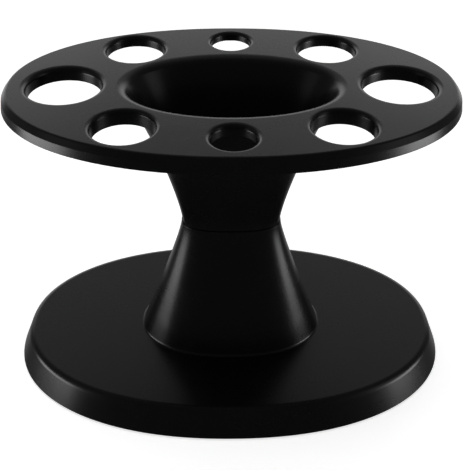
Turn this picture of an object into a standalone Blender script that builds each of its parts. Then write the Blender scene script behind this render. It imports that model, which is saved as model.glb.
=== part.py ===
"""Oval pedestal stand for hair tools, moulded in black plastic.

An oval tray with eight round lipped holes in three sizes runs down into a deep oval bowl. The bowl's
outside is the upper neck. It plugs into the waist of a flared pedestal, whose wide base holds a steel
ballast plate above a screwed bottom cover with rubber feet.

Metres, +Z up. The origin is on the ground under the middle of the base, X runs along the long axis of
the ovals, and the whole object is symmetric about the XZ and YZ planes.
"""

import math

import bmesh
import bpy
from mathutils import Matrix, Vector

MM = 0.001

# Moulding: walls and the gaps that separate pieces.
SHELL_WALL = 3.0 * MM
TRAY_PLATE = 3.0 * MM
BASE_PLATE = 3.0 * MM
SEAT_GAP = 0.3 * MM
SIDE_GAP = 0.4 * MM

# Heights above the ground.
TRAY_TOP = 194.0 * MM
SEAM_HEIGHT = 103.0 * MM
BASE_TOP = 19.6 * MM
SKIRT_LIFT = 1.2 * MM

# Tray.
TRAY_HALF_LENGTH = 126.0 * MM
TRAY_HALF_WIDTH = 78.0 * MM
TRAY_FULLNESS = 2.11
RIM_DEPTH = 8.6 * MM
RIM_ROUND = 5.0 * MM
RIM_LEAN = 22.0
RIB_DEPTH = 3.2 * MM
RIB_THICKNESS = 2.0 * MM
RIB_ANGLES = (20.0, 66.0)

# Bowl, and the upper neck that is its outside.
BOWL_HALF_LENGTH = 63.5 * MM
BOWL_HALF_WIDTH = 39.6 * MM
BOWL_FULLNESS = 2.05
BOWL_LIP_ROUND = 7.0 * MM
BOWL_LIP_LEAN = 35.0
BOWL_FLOOR = 3.6 * MM
FLOOR_ROUND = 3.0 * MM

# Holes in the tray, on a ring between the bowl and the rim.
HOLE_RING_SHARE = 0.51
DIAGONAL_ANGLE = 38.7
END_BORE = 40.6 * MM
DIAGONAL_BORE = 33.6 * MM
SIDE_BORE = 23.4 * MM
END_LIP = 3.3 * MM
DIAGONAL_LIP = 3.0 * MM
SIDE_LIP = 2.7 * MM
COLLAR_WALL = 2.0 * MM
END_COLLAR_DEPTH = 8.4 * MM
DIAGONAL_COLLAR_DEPTH = 8.0 * MM
SIDE_COLLAR_DEPTH = 6.4 * MM

# Waist joint: a spigot under the bowl stands in a socket in the neck.
WAIST_HALF_LENGTH = 29.6 * MM
WAIST_HALF_WIDTH = 13.6 * MM
WAIST_FULLNESS = 2.6
NECK_LEDGE = 0.6 * MM
SPIGOT_DEPTH = 8.0 * MM
SPIGOT_WALL = 2.4 * MM
SHELF_THICKNESS = 3.0 * MM

# Lower neck.
FOOT_HALF_LENGTH = 57.5 * MM
FOOT_HALF_WIDTH = 35.2 * MM
FOOT_FULLNESS = 2.25

# Base.
BASE_HALF_LENGTH = 139.0 * MM
BASE_HALF_WIDTH = 86.4 * MM
BASE_FULLNESS = 2.17
BASE_EDGE_ROUND = 5.0 * MM
SKIRT_FLARE = 5.6 * MM

# Bottom cover, set up into the skirt.
COVER_THICKNESS = 2.4 * MM
COVER_INSET = 0.8 * MM
FENCE_HEIGHT = 3.0 * MM
FENCE_THICKNESS = 2.0 * MM

# Ballast plate.
BALLAST_THICKNESS = 6.0 * MM
BALLAST_MARGIN = 6.0 * MM
BALLAST_FULLNESS = 2.1

# Cover screws, the bosses that they run up into, and the ribs.
BOSS_RADIUS = 4.2 * MM
BOSS_INSET = 10.0 * MM
BOSS_ANGLES = (30.0, 90.0, 150.0, 210.0, 270.0, 330.0)
COVER_SCREW_LENGTH = 10.0 * MM
SCREW_RADIUS = 1.45 * MM
HEAD_RADIUS = 2.8 * MM
HEAD_HEIGHT = 1.5 * MM
SCREW_CLEARANCE = 0.3 * MM
COUNTERBORE_CLEARANCE = 0.5 * MM
BASE_RIB_THICKNESS = 2.0 * MM

# The two screws that tie the shells together at the waist.
NECK_SCREW_SPACING = 26.0 * MM
NECK_SCREW_LENGTH = 14.0 * MM
NECK_BOSS_RADIUS = 3.9 * MM
WASHER_RADIUS = 4.4 * MM
WASHER_THICKNESS = 0.8 * MM

# Rubber feet.
PAD_RADIUS = 6.5 * MM
PAD_THICKNESS = 2.4 * MM
PAD_BEVEL = 0.5 * MM
PAD_CLEARANCE = 0.3 * MM
PAD_ANGLES = (0.0, 60.0, 120.0, 180.0, 240.0, 300.0)
PAD_INSET = 14.0 * MM

# Faceting.
OVAL_STEPS = 60
HOLE_STEPS = 24
PAD_STEPS = 16
SCREW_STEPS = 10
LIP_STEPS = 3
EDGE_STEPS = 3
NECK_STEPS = 6

# Heights and outlines that follow from the sizes above.
COVER_BOTTOM = SKIRT_LIFT + COVER_INSET
COVER_TOP = COVER_BOTTOM + COVER_THICKNESS
BALLAST_BOTTOM = COVER_TOP + SEAT_GAP
BALLAST_TOP = BALLAST_BOTTOM + BALLAST_THICKNESS
BASE_CEILING = BASE_TOP - BASE_PLATE
TRAY_CEILING = TRAY_TOP - TRAY_PLATE
RIM_DROP = RIM_ROUND * (1.0 - math.sin(math.radians(RIM_LEAN)))
RIM_RUN = RIM_ROUND * math.cos(math.radians(RIM_LEAN)) + (RIM_DEPTH - RIM_DROP) * math.tan(math.radians(RIM_LEAN))
BOWL_LIP_RUN = BOWL_LIP_ROUND * math.cos(math.radians(BOWL_LIP_LEAN))
BOWL_LIP_DROP = BOWL_LIP_ROUND * (1.0 - math.sin(math.radians(BOWL_LIP_LEAN)))
SHELF_TOP = SEAM_HEIGHT - SPIGOT_DEPTH - SEAT_GAP
SHELF_BOTTOM = SHELF_TOP - SHELF_THICKNESS
FLOOR_TOP = SEAM_HEIGHT + BOWL_FLOOR
SKIRT_INNER = (BASE_HALF_LENGTH - SKIRT_FLARE - SHELL_WALL, BASE_HALF_WIDTH - SKIRT_FLARE - SHELL_WALL)


class Section:
    """One horizontal oval of a loft: half-length, half-width, height and fullness."""

    def __init__(self, half_length, half_width, height, fullness):
        self.half_length = half_length
        self.half_width = half_width
        self.height = height
        self.fullness = fullness

    def reach(self, degrees):
        """Distance from the axis to the oval along a true direction."""
        return oval_reach(self.half_length, self.half_width, self.fullness, degrees)

    def points(self, steps):
        """The oval's corners, counter-clockwise from +X."""
        return [
            Vector((*oval_point(self.half_length, self.half_width, self.fullness, 360.0 * i / steps), self.height))
            for i in range(steps)
        ]


def oval_point(half_length, half_width, fullness, degrees):
    """A point of a superellipse at a parameter angle."""
    cosine = math.cos(math.radians(degrees))
    sine = math.sin(math.radians(degrees))
    power = 2.0 / fullness
    x = half_length * math.copysign(abs(cosine) ** power, cosine)
    y = half_width * math.copysign(abs(sine) ** power, sine)
    return x, y


def oval_reach(half_length, half_width, fullness, degrees):
    """Distance from the middle to a superellipse along a true direction."""
    cosine = abs(math.cos(math.radians(degrees)))
    sine = abs(math.sin(math.radians(degrees)))
    total = (cosine / half_length) ** fullness + (sine / half_width) ** fullness
    return total ** (-1.0 / fullness)


def bezier(start, first, second, end, t):
    """A point of a plane cubic curve."""
    s = 1.0 - t
    return tuple(
        s * s * s * a + 3.0 * s * s * t * b + 3.0 * s * t * t * c + t * t * t * d
        for a, b, c, d in zip(start, first, second, end)
    )


def quarter(steps, total=90.0):
    """Sines and cosines along an arc that starts at 0 degrees and leaves out its start."""
    angles = [math.radians(total) * (i + 1) / steps for i in range(steps)]
    return [(math.sin(angle), math.cos(angle)) for angle in angles]


def finish(name, color, roughness, metallic=0.0):
    """A plain material."""
    material = bpy.data.materials.new(name)
    material.use_nodes = True
    shader = material.node_tree.nodes["Principled BSDF"]
    shader.inputs["Base Color"].default_value = (*color, 1.0)
    shader.inputs["Roughness"].default_value = roughness
    shader.inputs["Metallic"].default_value = metallic
    material.diffuse_color = (*color, 1.0)
    return material


def object_from(mesh_builder, name, material=None, sharp=35.0):
    """A mesh object from a bmesh, with its faces turned out and its round sides smooth."""
    bmesh.ops.recalc_face_normals(mesh_builder, faces=mesh_builder.faces)
    mesh = bpy.data.meshes.new(name)
    mesh_builder.to_mesh(mesh)
    mesh_builder.free()
    mesh.shade_smooth()
    mesh.set_sharp_from_angle(angle=math.radians(sharp))
    if material is not None:
        mesh.materials.append(material)
    made = bpy.data.objects.new(name, mesh)
    bpy.context.scene.collection.objects.link(made)
    return made


def skin(builder, rings, closed):
    """Quads between neighbouring rings. A ring of one point is a pole, and a closed loft joins last to first."""
    pairs = list(zip(rings, rings[1:]))
    if closed:
        pairs.append((rings[-1], rings[0]))
    for low, high in pairs:
        count = max(len(low), len(high))
        for i in range(count):
            j = (i + 1) % count
            corners = [low[i % len(low)], low[j % len(low)], high[j % len(high)], high[i % len(high)]]
            unique = list(dict.fromkeys(corners))
            builder.faces.new(unique)


def add_oval_loft(builder, sections, closed=False):
    """A loft through ovals. A number in the list is the height of a pole on the axis."""
    rings = []
    for section in sections:
        if isinstance(section, Section):
            rings.append([builder.verts.new(point) for point in section.points(OVAL_STEPS)])
        else:
            rings.append([builder.verts.new((0.0, 0.0, section))])
    skin(builder, rings, closed)


def add_lathe(builder, profile, steps, x=0.0, y=0.0):
    """A turned solid about a vertical line. The profile is (radius, height) from the bottom up."""
    rings = []
    for radius, height in profile:
        ring = []
        for i in range(steps):
            angle = 2.0 * math.pi * (i + 0.5) / steps
            ring.append(builder.verts.new((x + radius * math.cos(angle), y + radius * math.sin(angle), height)))
        rings.append(ring)
    skin(builder, rings, False)
    builder.faces.new(list(reversed(rings[0])))
    builder.faces.new(rings[-1])


def add_box(builder, low, high):
    """A box between two corners."""
    size = [b - a for a, b in zip(low, high)]
    middle = [(a + b) / 2.0 for a, b in zip(low, high)]
    bmesh.ops.create_cube(builder, size=1.0, matrix=Matrix.Translation(middle) @ Matrix.Diagonal((*size, 1.0)))


def add_rib(builder, corners, thickness, degrees):
    """An upright web in a radial plane. The corners are (distance from the axis, height), in order round it."""
    turn = Matrix.Rotation(math.radians(degrees), 4, "Z")
    faces = []
    for side in (-0.5, 0.5):
        face = [builder.verts.new(turn @ Vector((reach, side * thickness, height))) for reach, height in corners]
        faces.append(face)
    skin(builder, faces, False)
    builder.faces.new(list(reversed(faces[0])))
    builder.faces.new(faces[1])


def helper(builder, name):
    """An object that only shapes another one."""
    made = object_from(builder, name)
    made.hide_render = True
    made.display_type = "WIRE"
    return made


def combine(target, tool, operation):
    """Adds a Boolean to the target."""
    modifier = target.modifiers.new(tool.name, "BOOLEAN")
    modifier.operation = operation
    modifier.solver = "EXACT"
    modifier.object = tool


def hole_layout():
    """The tray's holes as (x, y, bore radius, lip radius, collar depth)."""
    flat_length = TRAY_HALF_LENGTH - RIM_RUN
    flat_width = TRAY_HALF_WIDTH - RIM_RUN
    end = (END_BORE, END_LIP, END_COLLAR_DEPTH)
    side = (SIDE_BORE, SIDE_LIP, SIDE_COLLAR_DEPTH)
    diagonal = (DIAGONAL_BORE, DIAGONAL_LIP, DIAGONAL_COLLAR_DEPTH)
    kinds = [(0.0, *end), (180.0, *end), (90.0, *side), (270.0, *side)]
    for base, sign in ((0.0, 1.0), (180.0, -1.0), (180.0, 1.0), (360.0, -1.0)):
        kinds.append((base + sign * DIAGONAL_ANGLE, *diagonal))
    holes = []
    for degrees, bore, lip, collar in kinds:
        inner = oval_reach(BOWL_HALF_LENGTH, BOWL_HALF_WIDTH, BOWL_FULLNESS, degrees)
        outer = oval_reach(flat_length, flat_width, TRAY_FULLNESS, degrees)
        reach = inner + HOLE_RING_SHARE * (outer - inner)
        angle = math.radians(degrees)
        holes.append((reach * math.cos(angle), reach * math.sin(angle), bore / 2.0, lip, collar))
    return holes


def boss_points():
    """Where the cover screws stand, inset from the inside of the skirt."""
    return [
        oval_point(SKIRT_INNER[0] - BOSS_INSET, SKIRT_INNER[1] - BOSS_INSET, BASE_FULLNESS, degrees)
        for degrees in BOSS_ANGLES
    ]


def pad_points():
    """Where the rubber feet stand."""
    return [
        oval_point(SKIRT_INNER[0] - PAD_INSET, SKIRT_INNER[1] - PAD_INSET, BASE_FULLNESS, degrees)
        for degrees in PAD_ANGLES
    ]


def funnel_sections(inset, low, high, steps):
    """Ovals of the upper neck from one height up to another, drawn in by a wall thickness."""
    top = TRAY_CEILING
    full_length = BOWL_HALF_LENGTH - BOWL_LIP_RUN + SHELL_WALL
    full_width = BOWL_HALF_WIDTH - BOWL_LIP_RUN + SHELL_WALL
    sections = []
    for i in range(steps + 1):
        share, rise = bezier((0.0, 0.0), (0.0, 0.14), (0.55, 0.80), (1.0, 1.0), i / steps)
        half_length = WAIST_HALF_LENGTH + share * (full_length - WAIST_HALF_LENGTH) - inset
        half_width = WAIST_HALF_WIDTH + share * (full_width - WAIST_HALF_WIDTH) - inset
        height = low + rise * (high - low)
        fullness = WAIST_FULLNESS + share * (BOWL_FULLNESS - WAIST_FULLNESS)
        sections.append(Section(half_length, half_width, min(height, top), fullness))
    return sections


def neck_sections(inset, low, high, steps):
    """Ovals of the lower neck from its top down to the base, drawn in by a wall thickness."""
    top_length = WAIST_HALF_LENGTH + NECK_LEDGE
    top_width = WAIST_HALF_WIDTH + NECK_LEDGE
    sections = []
    for i in range(steps + 1):
        share, drop = bezier((0.0, 0.0), (0.0, 0.12), (0.66, 0.70), (1.0, 1.0), i / steps)
        half_length = top_length + share * (FOOT_HALF_LENGTH - top_length) - inset
        half_width = top_width + share * (FOOT_HALF_WIDTH - top_width) - inset
        fullness = WAIST_FULLNESS + share * (FOOT_FULLNESS - WAIST_FULLNESS)
        sections.append(Section(half_length, half_width, high - drop * (high - low), fullness))
    return sections


def section_at(sections, height):
    """The oval between two neighbours of a list at a height."""
    for first, second in zip(sections, sections[1:]):
        low, high = sorted((first.height, second.height))
        if low <= height <= high and high > low:
            share = (height - first.height) / (second.height - first.height)
            return Section(
                first.half_length + share * (second.half_length - first.half_length),
                first.half_width + share * (second.half_width - first.half_width),
                height,
                first.fullness + share * (second.fullness - first.fullness),
            )
    nearest = min(sections, key=lambda section: abs(section.height - height))
    return Section(nearest.half_length, nearest.half_width, height, nearest.fullness)


def make_upper_shell(material):
    """Tray, rim, bowl, upper neck and spigot in one moulding."""
    sections = [FLOOR_TOP]
    inside = funnel_sections(SHELL_WALL, FLOOR_TOP, TRAY_TOP - BOWL_LIP_DROP, NECK_STEPS)
    floor = inside[0]
    sections.append(Section(floor.half_length - FLOOR_ROUND, floor.half_width - FLOOR_ROUND, FLOOR_TOP, floor.fullness))
    for sine, cosine in quarter(2)[:1]:
        inward = FLOOR_ROUND * (1.0 - sine)
        rise = FLOOR_ROUND * (1.0 - cosine)
        sections.append(Section(floor.half_length - inward, floor.half_width - inward, FLOOR_TOP + rise, floor.fullness))
    inside[0].height += FLOOR_ROUND
    sections += inside
    rim_of_bowl = inside[-1]
    for i in range(1, LIP_STEPS + 1):
        turn = math.radians(BOWL_LIP_LEAN + (90.0 - BOWL_LIP_LEAN) * i / LIP_STEPS)
        out = BOWL_LIP_RUN - BOWL_LIP_ROUND * math.cos(turn)
        height = TRAY_TOP - BOWL_LIP_ROUND * (1.0 - math.sin(turn))
        sections.append(Section(rim_of_bowl.half_length + out, rim_of_bowl.half_width + out, height, BOWL_FULLNESS))
    sections.append(Section(TRAY_HALF_LENGTH - RIM_RUN, TRAY_HALF_WIDTH - RIM_RUN, TRAY_TOP, TRAY_FULLNESS))
    for i in range(1, EDGE_STEPS + 1):
        turn = math.radians((90.0 - RIM_LEAN) * i / EDGE_STEPS)
        inset = RIM_RUN - RIM_ROUND * math.sin(turn)
        height = TRAY_TOP - RIM_ROUND * (1.0 - math.cos(turn))
        sections.append(Section(TRAY_HALF_LENGTH - inset, TRAY_HALF_WIDTH - inset, height, TRAY_FULLNESS))
    bottom = TRAY_TOP - RIM_DEPTH
    for inset, height in (
        (0.0, bottom),
        (SHELL_WALL, bottom),
        (SHELL_WALL + RIM_RUN - TRAY_PLATE, TRAY_CEILING),
    ):
        sections.append(Section(TRAY_HALF_LENGTH - inset, TRAY_HALF_WIDTH - inset, height, TRAY_FULLNESS))
    outside = funnel_sections(0.0, SEAM_HEIGHT + SEAT_GAP / 2.0, TRAY_CEILING, NECK_STEPS)
    sections += reversed(outside)
    fit = SHELL_WALL + SIDE_GAP - NECK_LEDGE
    spigot_bottom = SEAM_HEIGHT - SPIGOT_DEPTH
    for inset, height in (
        (fit, SEAM_HEIGHT + SEAT_GAP / 2.0),
        (fit, spigot_bottom),
        (fit + SPIGOT_WALL, spigot_bottom),
        (fit + SPIGOT_WALL, SEAM_HEIGHT),
    ):
        sections.append(Section(WAIST_HALF_LENGTH - inset, WAIST_HALF_WIDTH - inset, height, WAIST_FULLNESS))
    sections.append(SEAM_HEIGHT)
    builder = bmesh.new()
    add_oval_loft(builder, sections)
    shell = object_from(builder, "upper_shell", material)

    holes = hole_layout()
    builder = bmesh.new()
    middle = TRAY_TOP - TRAY_PLATE / 2.0
    for x, y, radius, _, collar in holes:
        outer = radius + COLLAR_WALL
        add_lathe(builder, [(outer, TRAY_TOP - collar), (outer, middle)], HOLE_STEPS, x, y)
    combine(shell, helper(builder, "collar_stock"), "UNION")

    builder = bmesh.new()
    rib_top = TRAY_CEILING + TRAY_PLATE / 4.0
    rib_bottom = TRAY_CEILING - RIB_DEPTH
    for first in RIB_ANGLES:
        for angle in (first, 180.0 - first, 180.0 + first, 360.0 - first):
            upper = section_at(outside, TRAY_CEILING).reach(angle) - SHELL_WALL / 2.0
            lower = section_at(outside, rib_bottom).reach(angle) - SHELL_WALL / 2.0
            outer = oval_reach(TRAY_HALF_LENGTH, TRAY_HALF_WIDTH, TRAY_FULLNESS, angle) - SHELL_WALL
            corners = [(lower, rib_bottom), (outer, rib_bottom), (outer, rib_top), (upper, rib_top), (upper, TRAY_CEILING)]
            add_rib(builder, corners, RIB_THICKNESS, angle)
    combine(shell, helper(builder, "tray_rib_stock"), "UNION")

    builder = bmesh.new()
    for side in (-1.0, 1.0):
        x = side * NECK_SCREW_SPACING / 2.0
        add_lathe(
            builder,
            [(NECK_BOSS_RADIUS, spigot_bottom), (NECK_BOSS_RADIUS, SEAM_HEIGHT + BOWL_FLOOR / 3.0)],
            SCREW_STEPS + 4,
            x,
        )
    combine(shell, helper(builder, "neck_boss_stock"), "UNION")

    builder = bmesh.new()
    for x, y, radius, lip, collar in holes:
        profile = [(radius, TRAY_TOP - collar - 2.0 * MM), (radius, TRAY_TOP - lip)]
        for sine, cosine in quarter(LIP_STEPS):
            profile.append((radius + lip * (1.0 - cosine), TRAY_TOP - lip * (1.0 - sine)))
        last, before = profile[-1], profile[-2]
        profile[-1] = (2.0 * last[0] - before[0], 2.0 * last[1] - before[1])
        add_lathe(builder, profile, HOLE_STEPS, x, y)
    combine(shell, helper(builder, "hole_cutter"), "DIFFERENCE")

    builder = bmesh.new()
    for side in (-1.0, 1.0):
        x = side * NECK_SCREW_SPACING / 2.0
        reach = neck_screw_tip() + SEAT_GAP
        hole = SCREW_RADIUS + SCREW_CLEARANCE
        add_lathe(builder, [(hole, spigot_bottom - 2.0 * MM), (hole, reach)], SCREW_STEPS, x)
    combine(shell, helper(builder, "neck_pilot_cutter"), "DIFFERENCE")
    return shell


def neck_screw_head():
    """Height of the underside of a waist screw's head, which is its seat on the washer."""
    return SHELF_BOTTOM - 2.0 * SEAT_GAP - WASHER_THICKNESS


def neck_screw_tip():
    """Height of a waist screw's tip."""
    return neck_screw_head() + NECK_SCREW_LENGTH


def make_pedestal(material):
    """Lower neck, base and skirt in one moulding, with a shelf across the neck."""
    wall_top = SEAM_HEIGHT - SEAT_GAP / 2.0
    outside = neck_sections(0.0, BASE_TOP, wall_top, NECK_STEPS)
    inside = neck_sections(SHELL_WALL, BASE_CEILING, wall_top, NECK_STEPS)
    sections = [SHELF_TOP, section_at(inside, SHELF_TOP), inside[0]]
    sections += outside
    flat_length = BASE_HALF_LENGTH - SKIRT_FLARE - BASE_EDGE_ROUND
    flat_width = BASE_HALF_WIDTH - SKIRT_FLARE - BASE_EDGE_ROUND
    sections.append(Section(flat_length, flat_width, BASE_TOP, BASE_FULLNESS))
    lean = math.degrees(math.atan2(SKIRT_FLARE, BASE_TOP - SKIRT_LIFT - BASE_EDGE_ROUND))
    for sine, cosine in quarter(EDGE_STEPS, 90.0 - lean):
        out = BASE_EDGE_ROUND * sine
        height = BASE_TOP - BASE_EDGE_ROUND * (1.0 - cosine)
        sections.append(Section(flat_length + out, flat_width + out, height, BASE_FULLNESS))
    for inset, height in (
        (0.0, SKIRT_LIFT),
        (SHELL_WALL, SKIRT_LIFT),
        (SHELL_WALL, COVER_TOP + SEAT_GAP),
        (SKIRT_FLARE + SHELL_WALL, BASE_CEILING),
    ):
        sections.append(Section(BASE_HALF_LENGTH - inset, BASE_HALF_WIDTH - inset, height, BASE_FULLNESS))
    sections += [section for section in reversed(inside) if section.height < SHELF_BOTTOM - SHELF_THICKNESS]
    sections += [section_at(inside, SHELF_BOTTOM), SHELF_BOTTOM]
    builder = bmesh.new()
    add_oval_loft(builder, sections)
    shell = object_from(builder, "pedestal_shell", material)

    middle = BASE_TOP - BASE_PLATE / 2.0
    builder = bmesh.new()
    for x, y in boss_points():
        add_lathe(builder, [(BOSS_RADIUS, COVER_TOP + SEAT_GAP), (BOSS_RADIUS, middle)], SCREW_STEPS + 4, x, y)
    combine(shell, helper(builder, "boss_stock"), "UNION")

    builder = bmesh.new()
    rib_top = BASE_CEILING + BASE_PLATE / 4.0
    rib_bottom = BALLAST_TOP + SEAT_GAP
    for x, y in boss_points():
        angle = math.degrees(math.atan2(y, x))
        inner = oval_reach(FOOT_HALF_LENGTH, FOOT_HALF_WIDTH, FOOT_FULLNESS, angle) + SHELL_WALL
        outer = math.hypot(x, y)
        corners = [(inner, rib_bottom), (outer, rib_bottom), (outer, rib_top), (inner, rib_top)]
        add_rib(builder, corners, BASE_RIB_THICKNESS, angle)
    combine(shell, helper(builder, "base_rib_stock"), "UNION")

    builder = bmesh.new()
    hole = SCREW_RADIUS + SCREW_CLEARANCE
    tip = COVER_BOTTOM + HEAD_HEIGHT + SEAT_GAP + COVER_SCREW_LENGTH
    for x, y in boss_points():
        add_lathe(builder, [(hole, COVER_TOP), (hole, min(tip + SEAT_GAP, BASE_CEILING))], SCREW_STEPS, x, y)
    for side in (-1.0, 1.0):
        x = side * NECK_SCREW_SPACING / 2.0
        add_lathe(builder, [(hole, SHELF_BOTTOM - 1.0 * MM), (hole, SHELF_TOP + 1.0 * MM)], SCREW_STEPS, x)
    combine(shell, helper(builder, "screw_hole_cutter"), "DIFFERENCE")
    return shell


def ballast_outline():
    """Half-length and half-width of the ballast plate, inside the ring of bosses."""
    margin = BOSS_INSET + BOSS_RADIUS + FENCE_THICKNESS + BALLAST_MARGIN
    return SKIRT_INNER[0] - margin, SKIRT_INNER[1] - margin


def make_bottom_cover(material):
    """The plate that closes the base, with a fence round the ballast, screw seats and foot recesses."""
    edge_length = BASE_HALF_LENGTH - SHELL_WALL - SIDE_GAP
    edge_width = BASE_HALF_WIDTH - SHELL_WALL - SIDE_GAP
    fence_length, fence_width = (side + SIDE_GAP for side in ballast_outline())
    fence_top = COVER_TOP + FENCE_HEIGHT
    sections = [COVER_BOTTOM]
    sections.append(Section(edge_length, edge_width, COVER_BOTTOM, BASE_FULLNESS))
    sections.append(Section(edge_length, edge_width, COVER_TOP, BASE_FULLNESS))
    for extra, height in ((FENCE_THICKNESS, COVER_TOP), (FENCE_THICKNESS, fence_top), (0.0, fence_top), (0.0, COVER_TOP)):
        sections.append(Section(fence_length + extra, fence_width + extra, height, BALLAST_FULLNESS))
    sections.append(COVER_TOP)
    builder = bmesh.new()
    add_oval_loft(builder, sections)
    cover = object_from(builder, "bottom_cover", material)

    builder = bmesh.new()
    through = SCREW_RADIUS + SCREW_CLEARANCE
    seat = HEAD_RADIUS + COUNTERBORE_CLEARANCE
    seat_height = COVER_BOTTOM + HEAD_HEIGHT
    for x, y in boss_points():
        profile = [(seat, COVER_BOTTOM - 1.0 * MM), (seat, seat_height), (through, seat_height), (through, COVER_TOP + 1.0 * MM)]
        add_lathe(builder, profile, SCREW_STEPS + 2, x, y)
    recess = PAD_RADIUS + PAD_CLEARANCE
    for x, y in pad_points():
        add_lathe(builder, [(recess, COVER_BOTTOM - 1.0 * MM), (recess, PAD_THICKNESS + SEAT_GAP)], PAD_STEPS, x, y)
    combine(cover, helper(builder, "cover_cutter"), "DIFFERENCE")
    return cover


def make_ballast(material):
    """A flat oval steel plate with a middle opening that leaves the way up the neck free."""
    outer = ballast_outline()
    inner = (FOOT_HALF_LENGTH - SHELL_WALL, FOOT_HALF_WIDTH - SHELL_WALL)
    sections = [
        Section(*outer, BALLAST_BOTTOM, BALLAST_FULLNESS),
        Section(*outer, BALLAST_TOP, BALLAST_FULLNESS),
        Section(*inner, BALLAST_TOP, FOOT_FULLNESS),
        Section(*inner, BALLAST_BOTTOM, FOOT_FULLNESS),
    ]
    builder = bmesh.new()
    add_oval_loft(builder, sections, closed=True)
    return object_from(builder, "ballast_plate", material, 25.0)


def screw_mesh(name, length, material):
    """A pan-head screw with a cross recess. Its origin is under the head and its shank points up."""
    builder = bmesh.new()
    crown = HEAD_HEIGHT
    profile = [
        (0.62 * HEAD_RADIUS, -crown),
        (0.86 * HEAD_RADIUS, -0.78 * crown),
        (HEAD_RADIUS, -0.36 * crown),
        (HEAD_RADIUS, 0.0),
        (SCREW_RADIUS, 0.0),
        (SCREW_RADIUS, length - 1.6 * SCREW_RADIUS),
        (0.3 * SCREW_RADIUS, length),
    ]
    add_lathe(builder, profile, SCREW_STEPS)
    blank = object_from(builder, name + "_blank", material)
    builder = bmesh.new()
    arm, half = 0.55 * HEAD_RADIUS, 0.14 * HEAD_RADIUS
    add_box(builder, (-arm, -half, -1.5 * crown), (arm, half, -0.45 * crown))
    first = helper(builder, name + "_slot_a")
    builder = bmesh.new()
    add_box(builder, (-half, -arm, -1.5 * crown), (half, arm, -0.45 * crown))
    second = helper(builder, name + "_slot_b")
    combine(blank, first, "DIFFERENCE")
    combine(blank, second, "DIFFERENCE")
    graph = bpy.context.evaluated_depsgraph_get()
    mesh = bpy.data.meshes.new_from_object(blank.evaluated_get(graph))
    mesh.name = name
    for spare in (blank, first, second):
        bpy.data.objects.remove(spare)
    return mesh


def place_copies(names, mesh, points, height, parent):
    """One object for each point, all sharing a mesh."""
    for name, (x, y) in zip(names, points):
        copy = bpy.data.objects.new(name, mesh)
        copy.location = (x, y, height)
        copy.parent = parent
        bpy.context.scene.collection.objects.link(copy)


def make_washer(material):
    """The mesh of a flat washer that lies under a waist screw's head, with its origin on its underside."""
    builder = bmesh.new()
    bore = SCREW_RADIUS + SCREW_CLEARANCE
    rings = []
    corners = ((bore, 0.0), (WASHER_RADIUS, 0.0), (WASHER_RADIUS, WASHER_THICKNESS), (bore, WASHER_THICKNESS))
    steps = SCREW_STEPS + 6
    for radius, height in corners:
        angles = [2.0 * math.pi * i / steps for i in range(steps)]
        rings.append([builder.verts.new((radius * math.cos(a), radius * math.sin(a), height)) for a in angles])
    skin(builder, rings, True)
    made = object_from(builder, "washer_blank", material)
    mesh = made.data
    bpy.data.objects.remove(made)
    return mesh


def make_pad(material):
    """The mesh of a rubber foot, with its origin on the ground."""
    builder = bmesh.new()
    profile = [(PAD_RADIUS - PAD_BEVEL, 0.0), (PAD_RADIUS, PAD_BEVEL), (PAD_RADIUS, PAD_THICKNESS)]
    add_lathe(builder, profile, PAD_STEPS)
    made = object_from(builder, "pad_blank", material)
    mesh = made.data
    bpy.data.objects.remove(made)
    return mesh


def main():
    for old in list(bpy.data.objects):
        bpy.data.objects.remove(old)
    shell_black = finish("satin_black_plastic", (0.012, 0.012, 0.013), 0.32)
    cover_black = finish("textured_black_plastic", (0.018, 0.018, 0.019), 0.6)
    steel = finish("coated_steel", (0.22, 0.22, 0.23), 0.45, 0.9)
    zinc = finish("zinc_plated_steel", (0.55, 0.56, 0.58), 0.3, 1.0)
    rubber = finish("black_rubber", (0.02, 0.02, 0.02), 0.85)

    stand = bpy.data.objects.new("hair_tool_stand", None)
    bpy.context.scene.collection.objects.link(stand)
    for piece in (
        make_upper_shell(shell_black),
        make_pedestal(shell_black),
        make_bottom_cover(cover_black),
        make_ballast(steel),
    ):
        piece.parent = stand

    neck_points = [(-NECK_SCREW_SPACING / 2.0, 0.0), (NECK_SCREW_SPACING / 2.0, 0.0)]
    sides = ("left", "right")
    neck_names = ["neck_screw_" + side for side in sides]
    place_copies(neck_names, screw_mesh("neck_screw", NECK_SCREW_LENGTH, zinc), neck_points, neck_screw_head(), stand)
    washer_names = ["neck_washer_" + side for side in sides]
    washer_height = SHELF_BOTTOM - SEAT_GAP - WASHER_THICKNESS
    place_copies(washer_names, make_washer(zinc), neck_points, washer_height, stand)

    screw_names = ["cover_screw_%d" % (i + 1) for i in range(len(BOSS_ANGLES))]
    screw_height = COVER_BOTTOM + HEAD_HEIGHT - SEAT_GAP
    place_copies(screw_names, screw_mesh("cover_screw", COVER_SCREW_LENGTH, zinc), boss_points(), screw_height, stand)
    pad_names = ["foot_pad_%d" % (i + 1) for i in range(len(PAD_ANGLES))]
    place_copies(pad_names, make_pad(rubber), pad_points(), 0.0, stand)


main()
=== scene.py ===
"""Dressed scene of a black moulded stand that holds hair tools round a deep oval bowl.

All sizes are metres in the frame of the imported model: X runs along the ovals, the front faces -Y and the
feet stand at Z = 0. The stand has no moving parts, so every piece rides on its one body.
"""

from __future__ import annotations

import logging
import math
from collections.abc import Sequence
from dataclasses import dataclass
from enum import Enum

import bmesh
import bpy
from mathutils import Matrix, Vector


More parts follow.
